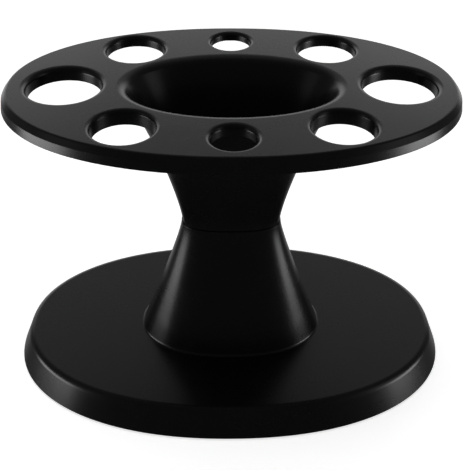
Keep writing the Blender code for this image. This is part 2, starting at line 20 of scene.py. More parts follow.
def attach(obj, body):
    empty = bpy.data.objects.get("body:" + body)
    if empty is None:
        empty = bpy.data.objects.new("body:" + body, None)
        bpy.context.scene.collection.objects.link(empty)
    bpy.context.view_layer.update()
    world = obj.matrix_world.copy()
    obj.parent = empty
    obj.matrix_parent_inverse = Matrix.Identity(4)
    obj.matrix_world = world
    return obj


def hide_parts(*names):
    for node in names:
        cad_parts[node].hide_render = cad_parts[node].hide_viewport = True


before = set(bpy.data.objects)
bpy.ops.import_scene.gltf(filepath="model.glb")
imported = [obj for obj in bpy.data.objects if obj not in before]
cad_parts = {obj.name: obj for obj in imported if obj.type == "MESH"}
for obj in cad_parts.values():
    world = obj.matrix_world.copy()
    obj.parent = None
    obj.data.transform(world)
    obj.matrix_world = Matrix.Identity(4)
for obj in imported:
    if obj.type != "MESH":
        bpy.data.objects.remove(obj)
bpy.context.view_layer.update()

MM = 0.001
BODY = "root"
# Corners nearer than this are one corner: in a finished mesh, and in a loft's seam and poles.
SAME_PLACE = 0.0001 * MM
LOFT_MERGE = 0.002 * MM
# How much more a large face counts than a small one in a corner's normal.
NORMAL_WEIGHT = 60
LOG = logging.getLogger("hair_tool_stand")

Point = tuple[float, float, float]
Point2 = tuple[float, float]


class Slot(Enum):
    """The record's material slots."""

    SHELL = "shell_plastic"
    COVER = "cover_plastic"
    BALLAST = "ballast_steel"
    FASTENER = "fastener_steel"
    FOOT = "foot_rubber"


class Join(Enum):
    """How a tool shape changes a piece."""

    ADD = "UNION"
    CUT = "DIFFERENCE"


# --------------------------------------------------------------------------------------------------------
# Colour and node helpers


def linear(code: str) -> tuple[float, float, float, float]:
    """Turns an sRGB hex colour into linear values.

    Args:
        code: A colour such as "#0b0b0c".

    Returns:
        Linear red, green, blue and an alpha of 1.
    """
    channels = [int(code[i : i + 2], 16) / 255.0 for i in (1, 3, 5)]
    values = [c / 12.92 if c <= 0.04045 else ((c + 0.055) / 1.055) ** 2.4 for c in channels]
    return values[0], values[1], values[2], 1.0


def add_node(
    tree: bpy.types.NodeTree,
    kind: str,
    settings: dict[str | int, object] | None = None,
    links: dict[str | int, bpy.types.NodeSocket] | None = None,
) -> bpy.types.Node:
    """Adds a node with its settings and links.

    Args:
        tree: The tree that gets the node.
        kind: The node's type.
        settings: Values by name. A name that the node has as a property sets it, and any other name or a
            number is an input.
        links: The output that feeds each input, by the input's name or number.

    Returns:
        The new node.
    """
    node = tree.nodes.new(kind)
    for key, value in (settings or {}).items():
        if isinstance(key, str) and hasattr(node, key):
            setattr(node, key, value)
        else:
            node.inputs[key].default_value = value
    for key, output in (links or {}).items():
        tree.links.new(output, node.inputs[key])
    return node


# --------------------------------------------------------------------------------------------------------
# Finishes


def new_finish(
    name: str,
) -> tuple[bpy.types.Material, bpy.types.NodeTree, bpy.types.Node, bpy.types.NodeSocket]:
    """Starts a finish.

    Args:
        name: The material's name.

    Returns:
        The material, its tree, its shader and the Object coordinates that its patterns read.
    """
    made = bpy.data.materials.new(name)
    made.use_nodes = True
    tree = made.node_tree
    place = add_node(tree, "ShaderNodeTexCoord").outputs["Object"]
    return made, tree, tree.nodes["Principled BSDF"], place


@dataclass(frozen=True)
class MouldedPlastic:
    """Injection-moulded polystyrene, coloured through.

    Attributes:
        name: The material's name.
        colour: The plastic's colour.
        worn: A slightly greyer tone where it has been handled.
        roughness: Micro-roughness of the moulded skin.
        roughness_drift: How far the roughness wanders over the part.
        drift_mm: Size of the patches of cooler and hotter tool, which give the drift.
        peel_mm: Wavelength of the slight orange peel.
        peel_depth_mm: Height of the orange peel.
        grain_mm: Grain of the tool's surface.
        grain_depth_mm: Height of the grain.
        handled_share: Size of the handled patches, as a share of the drift's.
        ior: The plastic's index of refraction.
    """

    name: str
    colour: str
    worn: str
    roughness: float
    roughness_drift: float
    drift_mm: float
    peel_mm: float
    peel_depth_mm: float
    grain_mm: float
    grain_depth_mm: float
    handled_share: float = 0.35
    ior: float = 1.5

    def material(self) -> bpy.types.Material:
        """Builds the finish.

        Returns:
            A node material on Object coordinates.
        """
        made, tree, shader, place = new_finish(self.name)
        shader.inputs["IOR"].default_value = self.ior
        drift = add_node(
            tree,
            "ShaderNodeTexNoise",
            {"Scale": 1.0 / (self.drift_mm * MM), "Detail": 3.0, "Roughness": 0.55},
            {"Vector": place},
        ).outputs["Fac"]
        patch = self.handled_share * self.drift_mm * MM
        handled = add_node(
            tree,
            "ShaderNodeTexNoise",
            {"Scale": 1.0 / patch, "Detail": 5.0, "Roughness": 0.65, "Distortion": 0.8},
            {"Vector": place},
        ).outputs["Fac"]
        tone = add_node(
            tree,
            "ShaderNodeMix",
            {"data_type": "RGBA", 6: linear(self.colour), 7: linear(self.worn)},
            {0: handled},
        )
        tree.links.new(tone.outputs[2], shader.inputs["Base Color"])
        # Each noise wanders round 0.5, so their sum stays between about 0.7 and 1.3.
        total = add_node(tree, "ShaderNodeMath", {"operation": "ADD"}, {0: drift, 1: handled}).outputs[0]
        rough = add_node(
            tree,
            "ShaderNodeMapRange",
            {
                "From Min": 0.7,
                "From Max": 1.3,
                "To Min": self.roughness - self.roughness_drift,
                "To Max": self.roughness + self.roughness_drift,
            },
            {"Value": total},
        )
        tree.links.new(rough.outputs[0], shader.inputs["Roughness"])
        peel = add_node(
            tree,
            "ShaderNodeTexNoise",
            {"Scale": 1.0 / (self.peel_mm * MM), "Detail": 1.0},
            {"Vector": place},
        ).outputs["Fac"]
        grain = add_node(
            tree,
            "ShaderNodeTexNoise",
            {"Scale": 1.0 / (self.grain_mm * MM), "Detail": 2.0, "Roughness": 0.6},
            {"Vector": place},
        ).outputs["Fac"]
        wavy = add_node(
            tree,
            "ShaderNodeBump",
            {"Strength": 1.0, "Distance": self.peel_depth_mm * MM},
            {"Height": peel},
        )
        grainy = add_node(
            tree,
            "ShaderNodeBump",
            {"Strength": 1.0, "Distance": self.grain_depth_mm * MM},
            {"Height": grain, "Normal": wavy.outputs[0]},
        )
        tree.links.new(grainy.outputs[0], shader.inputs["Normal"])
        return made


@dataclass(frozen=True)
class PlatedSteel:
    """Steel under a thin plating or coat, with the spangle and rubbed spots that such a coat has.

    Attributes:
        name: The material's name.
        colour: The coat's colour.
        dull: The colour of its duller spots.
        metallic: How metallic the coat is.
        roughness: Micro-roughness of the coat.
        spot_mm: Size of the spots.
        rubbed: How much smoother the rubbed spots are.
        spangled: How much rougher the spangle is.
    """

    name: str
    colour: str
    dull: str
    metallic: float
    roughness: float
    spot_mm: float
    rubbed: float = 0.06
    spangled: float = 0.1

    def material(self) -> bpy.types.Material:
        """Builds the finish.

        Returns:
            A node material on Object coordinates.
        """
        made, tree, shader, place = new_finish(self.name)
        shader.inputs["Metallic"].default_value = self.metallic
        spots = add_node(
            tree,
            "ShaderNodeTexNoise",
            {"Scale": 1.0 / (self.spot_mm * MM), "Detail": 4.0, "Roughness": 0.6},
            {"Vector": place},
        ).outputs["Fac"]
        tone = add_node(
            tree,
            "ShaderNodeMix",
            {"data_type": "RGBA", 6: linear(self.colour), 7: linear(self.dull)},
            {0: spots},
        )
        tree.links.new(tone.outputs[2], shader.inputs["Base Color"])
        # The noise stays between about 0.3 and 0.7.
        rough = add_node(
            tree,
            "ShaderNodeMapRange",
            {
                "From Min": 0.3,
                "From Max": 0.7,
                "To Min": self.roughness - self.rubbed,
                "To Max": self.roughness + self.spangled,
            },
            {"Value": spots},
        )
        tree.links.new(rough.outputs[0], shader.inputs["Roughness"])
        return made


@dataclass(frozen=True)
class MouldedRubber:
    """Compression-moulded black rubber with a chalky bloom.

    Attributes:
        name: The material's name.
        colour: The rubber's colour.
        bloom: The paler bloom on it.
        roughness: Its micro-roughness.
        grain_mm: Grain of its skin.
        grain_depth_mm: Height of the grain.
        ior: The rubber's index of refraction.
    """

    name: str
    colour: str
    bloom: str
    roughness: float
    grain_mm: float
    grain_depth_mm: float = 0.05
    ior: float = 1.52

    def material(self) -> bpy.types.Material:
        """Builds the finish.

        Returns:
            A node material on Object coordinates.
        """
        made, tree, shader, place = new_finish(self.name)
        shader.inputs["IOR"].default_value = self.ior
        shader.inputs["Roughness"].default_value = self.roughness
        grain = add_node(
            tree,
            "ShaderNodeTexNoise",
            {"Scale": 1.0 / (self.grain_mm * MM), "Detail": 3.0},
            {"Vector": place},
        ).outputs["Fac"]
        tone = add_node(
            tree,
            "ShaderNodeMix",
            {"data_type": "RGBA", 6: linear(self.colour), 7: linear(self.bloom)},
            {0: grain},
        )
        tree.links.new(tone.outputs[2], shader.inputs["Base Color"])
        bump = add_node(
            tree,
            "ShaderNodeBump",
            {"Strength": 0.6, "Distance": self.grain_depth_mm * MM},
            {"Height": grain},
        )
        tree.links.new(bump.outputs[0], shader.inputs["Normal"])
        return made


# Black polystyrene from a vapour-blasted tool: dark, with broad soft highlights.
SATIN_BLACK = MouldedPlastic(
    name="moulded_black_polystyrene",
    colour="#08080a",
    worn="#0c0c0d",
    roughness=0.27,
    roughness_drift=0.02,
    drift_mm=60.0,
    peel_mm=2.6,
    peel_depth_mm=0.002,
    grain_mm=0.5,
    grain_depth_mm=0.0012,
)
# The same plastic from a spark-eroded tool. The grain is drawn a little coarse so that it shows.
TEXTURED_BLACK = MouldedPlastic(
    name="spark_textured_black_polystyrene",
    colour="#141415",
    worn="#1b1b1c",
    roughness=0.58,
    roughness_drift=0.04,
    drift_mm=45.0,
    peel_mm=1.8,
    peel_depth_mm=0.004,
    grain_mm=0.4,
    grain_depth_mm=0.03,
)
# Zinc plate over turned steel: bright, faintly blue, with dull spots.
ZINC = PlatedSteel(
    name="zinc_plated_steel", colour="#c3c6cb", dull="#9da2a8", metallic=1.0, roughness=0.3, spot_mm=1.2
)
# Hot-rolled plate under a thin black oxide.
BLACK_OXIDE = PlatedSteel(
    name="black_oxide_steel_plate", colour="#3a3b3e", dull="#2a2a2c", metallic=0.6, roughness=0.5, spot_mm=6.0
)
# Rubber feet: matt, with a bloom that greys them slightly.
RUBBER = MouldedRubber(
    name="moulded_black_rubber", colour="#151515", bloom="#232323", roughness=0.8, grain_mm=0.5
)


# --------------------------------------------------------------------------------------------------------
# Curves and ovals


@dataclass(frozen=True)
class Oval:
    """One horizontal superellipse.

    Attributes:
        half_length: Half its size along X.
        half_width: Half its size along Y.
        height: Its height above the ground.
        fullness: Its exponent: 2 is an ellipse, and more is squarer.
    """

    half_length: float
    half_width: float
    height: float
    fullness: float = 2.0

    def point(self, degrees: float) -> tuple[float, float]:
        """A point of the oval at a parameter angle.

        Args:
            degrees: The parameter angle.

        Returns:
            Its X and Y.
        """
        cosine, sine = math.cos(math.radians(degrees)), math.sin(math.radians(degrees))
        power = 2.0 / self.fullness
        return (
            self.half_length * math.copysign(abs(cosine) ** power, cosine),
            self.half_width * math.copysign(abs(sine) ** power, sine),
        )

    def reach(self, degrees: float) -> float:
        """Distance from the axis to the oval.

        Args:
            degrees: The true direction.

        Returns:
            The distance.
        """
        cosine, sine = abs(math.cos(math.radians(degrees))), abs(math.sin(math.radians(degrees)))
        total = (cosine / self.half_length) ** self.fullness + (sine / self.half_width) ** self.fullness
        return total ** (-1.0 / self.fullness)

    def inset(self, distance: float, height: float | None = None) -> Oval:
        """The oval drawn in by a distance, at its own or another height."""
        level = self.height if height is None else height
        return Oval(self.half_length - distance, self.half_width - distance, level, self.fullness)

    def towards(self, other: Oval, share: float, height: float) -> Oval:
        """The oval that lies a share of the way to another.

        Args:
            other: The other oval.
            share: The share of the way.
            height: The new oval's height.

        Returns:
            The oval between the two.
        """
        return Oval(
            self.half_length + share * (other.half_length - self.half_length),
            self.half_width + share * (other.half_width - self.half_width),
            height,
            self.fullness + share * (other.fullness - self.fullness),
        )


def ring(radius: float, height: float) -> Oval:
    """A round oval, for a turned shape."""
    return Oval(radius, radius, height, 2.0)


def pole(height: float) -> Oval:
    """A point on the axis, which closes a loft."""
    return Oval(0.0, 0.0, height, 2.0)


def rod(radius: float, low: float, high: float) -> list[Oval]:
    """The rows of an upright round bar."""
    return [pole(low), ring(radius, low), ring(radius, high), pole(high)]


def bezier(first: Point2, second: Point2, t: float) -> Point2:
    """A point of the cubic from (0, 0) to (1, 1).

    Args:
        first: Its first handle.
        second: Its second handle.
        t: The share of the way.

    Returns:
        The point.
    """
    s = 1.0 - t
    a, b, c = 3.0 * s * s * t, 3.0 * s * t * t, t * t * t
    return a * first[0] + b * second[0] + c, a * first[1] + b * second[1] + c


def arc(steps: int, start: float = 0.0, end: float = 90.0) -> list[Point2]:
    """Sines and cosines along an arc, both ends included.

    Args:
        steps: The number of chords.
        start: The first angle, in degrees.
        end: The last angle, in degrees.

    Returns:
        The pairs.
    """
    angles = [math.radians(start + (end - start) * i / steps) for i in range(steps + 1)]
    return [(math.sin(angle), math.cos(angle)) for angle in angles]


def rounded(start: Point2, radius: float, slopes: Point2, steps: int) -> list[Point2]:
    """Points of a round that grows steeper, as distances out and down.

    Args:
        start: Its first point.
        radius: Its radius.
        slopes: Its slopes at its start and its end, in degrees.
        steps: The number of chords.

    Returns:
        Its points, both ends included.
    """
    out, down = start
    first = math.radians(slopes[0])
    return [
        (out + radius * (sine - math.sin(first)), down + radius * (math.cos(first) - cosine))
        for sine, cosine in arc(steps, *slopes)
    ]


def flared(start: Oval, end: Oval, handles: tuple[Point2, Point2], heights: Point2, steps: int) -> list[Oval]:
    """Ovals of a neck that widens from the waist along a curve.

    Args:
        start: The oval at the waist.
        end: The widest oval.
        handles: The curve's handles, as shares of the widening and of the way along the axis.
        heights: The heights of its start and its end.
        steps: The number of rows.

    Returns:
        The ovals, from the waist on.
    """
    first, last = heights
    made = []
    for i in range(steps + 1):
        share, way = bezier(*handles, i / steps)
        made.append(start.towards(end, share, first + way * (last - first)))
    return made


def oval_between(ovals: Sequence[Oval], height: float) -> Oval:
    """The oval of a loft at a height.

    Args:
        ovals: The loft's ovals.
        height: The height.

    Returns:
        The oval there, or the nearest one.
    """
    for low, high in zip(ovals, ovals[1:]):
        bottom, top = sorted((low.height, high.height))
        if bottom < top and bottom <= height <= top:
            return low.towards(high, (height - low.height) / (high.height - low.height), height)
    nearest = min(ovals, key=lambda oval: abs(oval.height - height))
    return nearest.inset(0.0, height)


# --------------------------------------------------------------------------------------------------------
# Meshes


def new_object(name: str, data: bpy.types.ID) -> bpy.types.Object:
    """Puts a mesh, light or camera into the scene as an object at the origin.

    Args:
        name: The object's name.
        data: The mesh, light or camera.

    Returns:
        The object.
    """
    made = bpy.data.objects.new(name, data)
    bpy.context.scene.collection.objects.link(made)
    return made


def with_attributes(
    name: str, points: Sequence[Point], values: dict[str, Sequence[float]]
) -> bpy.types.Object:
    """An object of loose points that carry named values, as input for a Geometry Nodes tree.

    Args:
        name: The object's name.
        points: The points.
        values: One list of numbers for each named attribute.

    Returns:
        The object.
    """
    mesh = bpy.data.meshes.new(name)
    mesh.from_pydata([tuple(point) for point in points], [], [])
    for key, numbers in values.items():
        attribute = mesh.attributes.new(key, "FLOAT", "POINT")
        attribute.data.foreach_set("value", [float(number) for number in numbers])
    return new_object(name, mesh)


def outward(mesh: bpy.types.Mesh) -> None:
    """Turns the faces of a closed mesh outwards, after its doubles are merged.

    Args:
        mesh: The mesh, which is changed.
    """
    builder = bmesh.new()
    builder.from_mesh(mesh)
    bmesh.ops.remove_doubles(builder, verts=builder.verts, dist=SAME_PLACE)
    bmesh.ops.recalc_face_normals(builder, faces=builder.faces)
    builder.to_mesh(mesh)
    builder.free()


def evaluated(source: bpy.types.Object, name: str) -> bpy.types.Object:
    """Turns an object with modifiers into a plain mesh object and removes the source.

    Args:
        source: The object with modifiers.
        name: The new object's name.

    Returns:
        The plain object.
    """
    graph = bpy.context.evaluated_depsgraph_get()
    mesh = bpy.data.meshes.new_from_object(
        source.evaluated_get(graph), preserve_all_data_layers=True, depsgraph=graph
    )
    bpy.data.objects.remove(source)
    mesh.name = name
    return new_object(name, mesh)


def run_tree(
    tree: bpy.types.NodeTree, source: bpy.types.Object, name: str, inputs: dict[str, object]
) -> bpy.types.Object:
    """Runs a Geometry Nodes tree on an object and keeps the result as a plain mesh.

    Args:
        tree: The tree.
        source: The object whose geometry goes in. It is removed.
        name: The result's name.
        inputs: The tree's other inputs, by name.

    Returns:
        The plain object, with its faces outwards.
    """
    modifier = source.modifiers.new(tree.name, "NODES")
    modifier.node_group = tree
    sockets = tree.interface.items_tree
    identifiers = {item.name: item.identifier for item in sockets if item.in_out == "INPUT"}
    for key, value in inputs.items():
        modifier[identifiers[key]] = value
    made = evaluated(source, name)
    outward(made.data)
    return made


def combined(target: bpy.types.Object, tools: Sequence[tuple[bpy.types.Object, Join]]) -> bpy.types.Object:
    """Adds tool shapes to a piece and cuts others from it.

    Args:
        target: The piece. It is replaced.
        tools: Each tool with what it does. They are removed.

    Returns:
        The changed piece, under the target's name.
    """
    name = target.name
    for tool, join in tools:
        modifier = target.modifiers.new(tool.name, "BOOLEAN")
        modifier.operation = join.value
        modifier.solver = "EXACT"
        modifier.object = tool
    made = evaluated(target, name)
    made.name = name
    for tool, _ in tools:
        bpy.data.objects.remove(tool)
    return made


def shaded(piece: bpy.types.Object, sharp: float) -> bpy.types.Object:
    """Shades a piece smooth up to an angle, with normals that keep its flats flat.

    Args:
        piece: The piece. It is replaced.
        sharp: The edge angle, in degrees, from which an edge stays sharp.

    Returns:
        The shaded piece, under the same name.
    """
    name = piece.name
    piece.data.shade_smooth()
    piece.data.set_sharp_from_angle(angle=math.radians(sharp))
    modifier = piece.modifiers.new("even_normals", "WEIGHTED_NORMAL")
    modifier.mode = "FACE_AREA"
    modifier.weight = NORMAL_WEIGHT
    modifier.keep_sharp = True
    made = evaluated(piece, name)
    made.name = name
    return made


def dress(piece: bpy.types.Object, material: bpy.types.Material, nodes: Sequence[str]) -> None:
    """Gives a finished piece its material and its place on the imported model.

    Args:
        piece: The piece, with its place in its mesh.
        material: Its finish.
        nodes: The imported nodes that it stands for.
    """
    piece.data.materials.clear()
    piece.data.materials.append(material)
    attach(piece, BODY)
    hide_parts(*nodes)
    piece.data.calc_loop_triangles()
    count = len(piece.data.loop_triangles)
    LOG.info("%s: %d triangles, stands for %s", piece.name, count, ", ".join(nodes))


# --------------------------------------------------------------------------------------------------------
# Geometry Nodes trees


@dataclass(frozen=True)
class Web:
    """One upright web.

    Attributes:
        degrees: The direction of its plane.
        low_inner: Where its lower edge starts, from the axis.
        high_inner: Where its upper edge starts.
        outer: Where both end.
        low: The height of its lower edge.
        high: The height of its upper edge.
    """

    degrees: float
    low_inner: float
    high_inner: float
    outer: float
    low: float
    high: float


OVAL_KEYS = ("half_length", "half_width", "height", "fullness")
WEB_KEYS = ("low_inner", "high_inner", "outer", "low", "high")


class Trees:
    """The trees that skin ovals, set out copies and raise radial webs."""

    def __init__(self) -> None:
        """Builds each tree once."""
        self.loft = self._loft_tree()
        self.copies = self._copies_tree()
        self.webs = self._webs_tree()

    @staticmethod
    def _new_tree(name: str, inputs: Sequence[tuple[str, str]]) -> tuple[bpy.types.NodeTree, bpy.types.Node]:
        """Starts a tree.

        Args:
            name: The tree's name.
            inputs: The name and socket type of each input after the geometry.

        Returns:
            The tree and its Group Input node.
        """
        tree = bpy.data.node_groups.new(name, "GeometryNodeTree")
        tree.interface.new_socket("Geometry", in_out="INPUT", socket_type="NodeSocketGeometry")
        for label, kind in inputs:
            tree.interface.new_socket(label, in_out="INPUT", socket_type=kind)
        tree.interface.new_socket("Geometry", in_out="OUTPUT", socket_type="NodeSocketGeometry")
        return tree, add_node(tree, "NodeGroupInput")

    @staticmethod
    def _finish_tree(tree: bpy.types.NodeTree, group: bpy.types.Node, geometry: bpy.types.NodeSocket) -> None:
        """Ends a tree with real geometry that carries its material.

        Args:
            tree: The tree.
            group: Its Group Input node, which has a Finish input.
            geometry: The geometry made so far.
        """
        real = add_node(tree, "GeometryNodeRealizeInstances", {}, {"Geometry": geometry})
        smooth = add_node(tree, "GeometryNodeSetShadeSmooth", {}, {"Geometry": real.outputs[0]})
        finish = add_node(
            tree,
            "GeometryNodeSetMaterial",
            {},
            {"Geometry": smooth.outputs[0], "Material": group.outputs["Finish"]},
        )
        add_node(tree, "NodeGroupOutput", {}, {0: finish.outputs[0]})

    def _loft_tree(self) -> bpy.types.NodeTree:
        """A tree that skins a row of ovals.

        Its geometry is one point for each oval, which carries half_length, half_width, height and fullness.
        A grid's columns go round the ovals and its rows go from one to the next.

        Returns:
            The tree.
        """
        tree, group = self._new_tree(
            "Oval loft", [("Steps", "NodeSocketInt"), ("Finish", "NodeSocketMaterial")]
        )
        rows = group.outputs["Geometry"]
        steps = group.outputs["Steps"]
        count = add_node(tree, "GeometryNodeAttributeDomainSize", {"component": "MESH"}, {0: rows})
        total = count.outputs["Point Count"]
        columns = add_node(tree, "ShaderNodeMath", {"operation": "ADD", 1: 1.0}, {0: steps}).outputs[0]
        grid = add_node(tree, "GeometryNodeMeshGrid", {}, {"Vertices X": columns, "Vertices Y": total})
        index = add_node(tree, "GeometryNodeInputIndex").outputs[0]
        column = add_node(
            tree, "FunctionNodeIntegerMath", {"operation": "DIVIDE_FLOOR"}, {0: index, 1: total}
        ).outputs[0]
        row = add_node(
            tree, "FunctionNodeIntegerMath", {"operation": "MODULO"}, {0: index, 1: total}
        ).outputs[0]
        share = add_node(tree, "ShaderNodeMath", {"operation": "DIVIDE"}, {0: column, 1: steps}).outputs[0]
        angle = add_node(
            tree, "ShaderNodeMath", {"operation": "MULTIPLY", 1: math.tau}, {0: share}
        ).outputs[0]
        read = {}
        for key in OVAL_KEYS:
            named = add_node(tree, "GeometryNodeInputNamedAttribute", {"data_type": "FLOAT", "Name": key})
            read[key] = add_node(
                tree,
                "GeometryNodeSampleIndex",
                {"data_type": "FLOAT", "domain": "POINT"},
                {"Geometry": rows, "Value": named.outputs["Attribute"], "Index": row},
            ).outputs[0]
        power = add_node(
            tree, "ShaderNodeMath", {"operation": "DIVIDE", 0: 2.0}, {1: read["fullness"]}
        ).outputs[0]
        sides = []
        for wave, half in (("COSINE", read["half_length"]), ("SINE", read["half_width"])):
            value = add_node(tree, "ShaderNodeMath", {"operation": wave}, {0: angle}).outputs[0]
            size = add_node(tree, "ShaderNodeMath", {"operation": "ABSOLUTE"}, {0: value}).outputs[0]
            shaped = add_node(tree, "ShaderNodeMath", {"operation": "POWER"}, {0: size, 1: power}).outputs[0]
            sign = add_node(tree, "ShaderNodeMath", {"operation": "SIGN"}, {0: value}).outputs[0]
            for factor in (sign, half):
                product = add_node(tree, "ShaderNodeMath", {"operation": "MULTIPLY"}, {0: shaped, 1: factor})
                shaped = product.outputs[0]
            sides.append(shaped)
        place = add_node(tree, "ShaderNodeCombineXYZ", {}, {0: sides[0], 1: sides[1], 2: read["height"]})
        skin = add_node(
            tree,
            "GeometryNodeSetPosition",
            {},
            {"Geometry": grid.outputs["Mesh"], "Position": place.outputs[0]},
        )
        closed = add_node(
            tree, "GeometryNodeMergeByDistance", {"Distance": LOFT_MERGE}, {"Geometry": skin.outputs[0]}
        )
        self._finish_tree(tree, group, closed.outputs[0])
        return tree

    def _copies_tree(self) -> bpy.types.NodeTree:
        """A tree that sets a copy of a shape on each of some points.

        Its geometry is the points, which carry turn, the copy's angle about Z.

        Returns:
            The tree.
        """
        tree, group = self._new_tree(
            "Set out copies", [("Shape", "NodeSocketObject"), ("Finish", "NodeSocketMaterial")]
        )
        shape = add_node(
            tree,
            "GeometryNodeObjectInfo",
            {"transform_space": "ORIGINAL"},
            {"Object": group.outputs["Shape"]},
        )
        turn = add_node(tree, "GeometryNodeInputNamedAttribute", {"data_type": "FLOAT", "Name": "turn"})
        rotation = add_node(tree, "ShaderNodeCombineXYZ", {}, {2: turn.outputs["Attribute"]})
        copies = add_node(
            tree,
            "GeometryNodeInstanceOnPoints",
            {},
            {
                "Points": group.outputs["Geometry"],
                "Instance": shape.outputs["Geometry"],
                "Rotation": rotation.outputs[0],
            },
        )
        self._finish_tree(tree, group, copies.outputs[0])
        return tree

    def _webs_tree(self) -> bpy.types.NodeTree:
        """A tree that raises upright webs in radial planes.

        Its geometry is one point on the axis for each web, which carries turn, low_inner, high_inner, outer,
        low and high. A unit block on each point is bent to those sizes.

        Returns:
            The tree.
        """
        tree, group = self._new_tree(
            "Radial webs", [("Thickness", "NodeSocketFloat"), ("Finish", "NodeSocketMaterial")]
        )
        block = add_node(tree, "GeometryNodeMeshCube")
        webs = add_node(
            tree,
            "GeometryNodeInstanceOnPoints",
            {},
            {"Points": group.outputs["Geometry"], "Instance": block.outputs["Mesh"]},
        )
        real = add_node(tree, "GeometryNodeRealizeInstances", {}, {"Geometry": webs.outputs[0]})
        read = {}
        for key in ("turn", *WEB_KEYS):
            named = add_node(tree, "GeometryNodeInputNamedAttribute", {"data_type": "FLOAT", "Name": key})
            read[key] = named.outputs["Attribute"]
        position = add_node(tree, "GeometryNodeInputPosition").outputs[0]
        corner = add_node(tree, "ShaderNodeSeparateXYZ", {}, {0: position})
        # The block reaches half a unit either way from its middle.
        out, up = (
            add_node(tree, "ShaderNodeMath", {"operation": "ADD", 1: 0.5}, {0: axis}).outputs[0]
            for axis in (corner.outputs[0], corner.outputs[2])
        )
        inner, height = (
            add_node(tree, "ShaderNodeMix", {}, {0: up, 2: read[low], 3: read[high]}).outputs[0]
            for low, high in (("low_inner", "high_inner"), ("low", "high"))
        )
        reach = add_node(tree, "ShaderNodeMix", {}, {0: out, 2: inner, 3: read["outer"]}).outputs[0]
        side = add_node(
            tree,
            "ShaderNodeMath",
            {"operation": "MULTIPLY"},
            {0: corner.outputs[1], 1: group.outputs["Thickness"]},
        ).outputs[0]
        flat = add_node(tree, "ShaderNodeCombineXYZ", {}, {0: reach, 1: side, 2: height})
        turned = add_node(
            tree,
            "ShaderNodeVectorRotate",
            {"rotation_type": "Z_AXIS"},
            {"Vector": flat.outputs[0], "Angle": read["turn"]},
        )
        shaped = add_node(
            tree, "GeometryNodeSetPosition", {}, {"Geometry": real.outputs[0], "Position": turned.outputs[0]}
        )
        self._finish_tree(tree, group, shaped.outputs[0])
        return tree

    def lofted(
        self, name: str, ovals: Sequence[Oval], steps: int, material: bpy.types.Material, closed: bool = False
    ) -> bpy.types.Object:
        """Skins ovals into a closed piece.

        Args:
            name: The piece's name.
            ovals: The ovals, in order along its skin.
            steps: Corners round each oval.
            material: Its finish.
            closed: Whether the skin joins the last oval to the first.

        Returns:
            The piece.
        """
        rows = list(ovals) + ([ovals[0]] if closed else [])
        values = {key: [getattr(oval, key) for oval in rows] for key in OVAL_KEYS}
        source = with_attributes(name + "_rows", [(0.0, 0.0, float(i)) for i in range(len(rows))], values)
        return run_tree(self.loft, source, name, {"Steps": steps, "Finish": material})

    def set_out(
        self,
        name: str,
        shape: bpy.types.Object,
        places: Sequence[Point],
        material: bpy.types.Material,
        turns: Sequence[float] | None = None,
    ) -> bpy.types.Object:
        """Sets a copy of a shape on each place, as one mesh.

        Args:
            name: The result's name.
            shape: The shape, about its own origin. It is removed.
            places: Where the copies go.
            material: Their finish.
            turns: Each copy's angle about Z, in radians.

        Returns:
            The copies as one object.
        """
        source = with_attributes(name + "_places", places, {"turn": turns or [0.0] * len(places)})
        made = run_tree(self.copies, source, name, {"Shape": shape, "Finish": material})
        bpy.data.objects.remove(shape)
        return made

    def turned(
        self,
        name: str,
        rows: Sequence[Oval],
        steps: int,
        places: Sequence[Point],
        material: bpy.types.Material,
        turns: Sequence[float] | None = None,
    ) -> bpy.types.Object:
        """Skins the rows of a round shape and sets a copy of it on each place, as one mesh.

        Args:
            name: The result's name.
            rows: The shape's rows, about its own axis.
            steps: Corners round it.
            places: Where the copies go.
            material: Their finish.
            turns: Each copy's angle about Z, in radians.

        Returns:
            The copies as one object.
        """
        shape = self.lofted(name + "_shape", rows, steps, material)
        return self.set_out(name, shape, places, material, turns)

    def radial_webs(
        self, name: str, webs: Sequence[Web], thickness: float, material: bpy.types.Material
    ) -> bpy.types.Object:
        """Raises webs in radial planes.

        Args:
            name: The result's name.
            webs: The webs.
            thickness: Their thickness.
            material: Their finish.

        Returns:
            The webs as one object.
        """
        values = {key: [getattr(web, key) for web in webs] for key in WEB_KEYS}
        values["turn"] = [math.radians(web.degrees) for web in webs]
        source = with_attributes(name + "_rows", [(0.0, 0.0, 0.0)] * len(webs), values)
        return run_tree(self.webs, source, name, {"Thickness": thickness, "Finish": material})


# --------------------------------------------------------------------------------------------------------
# The stand


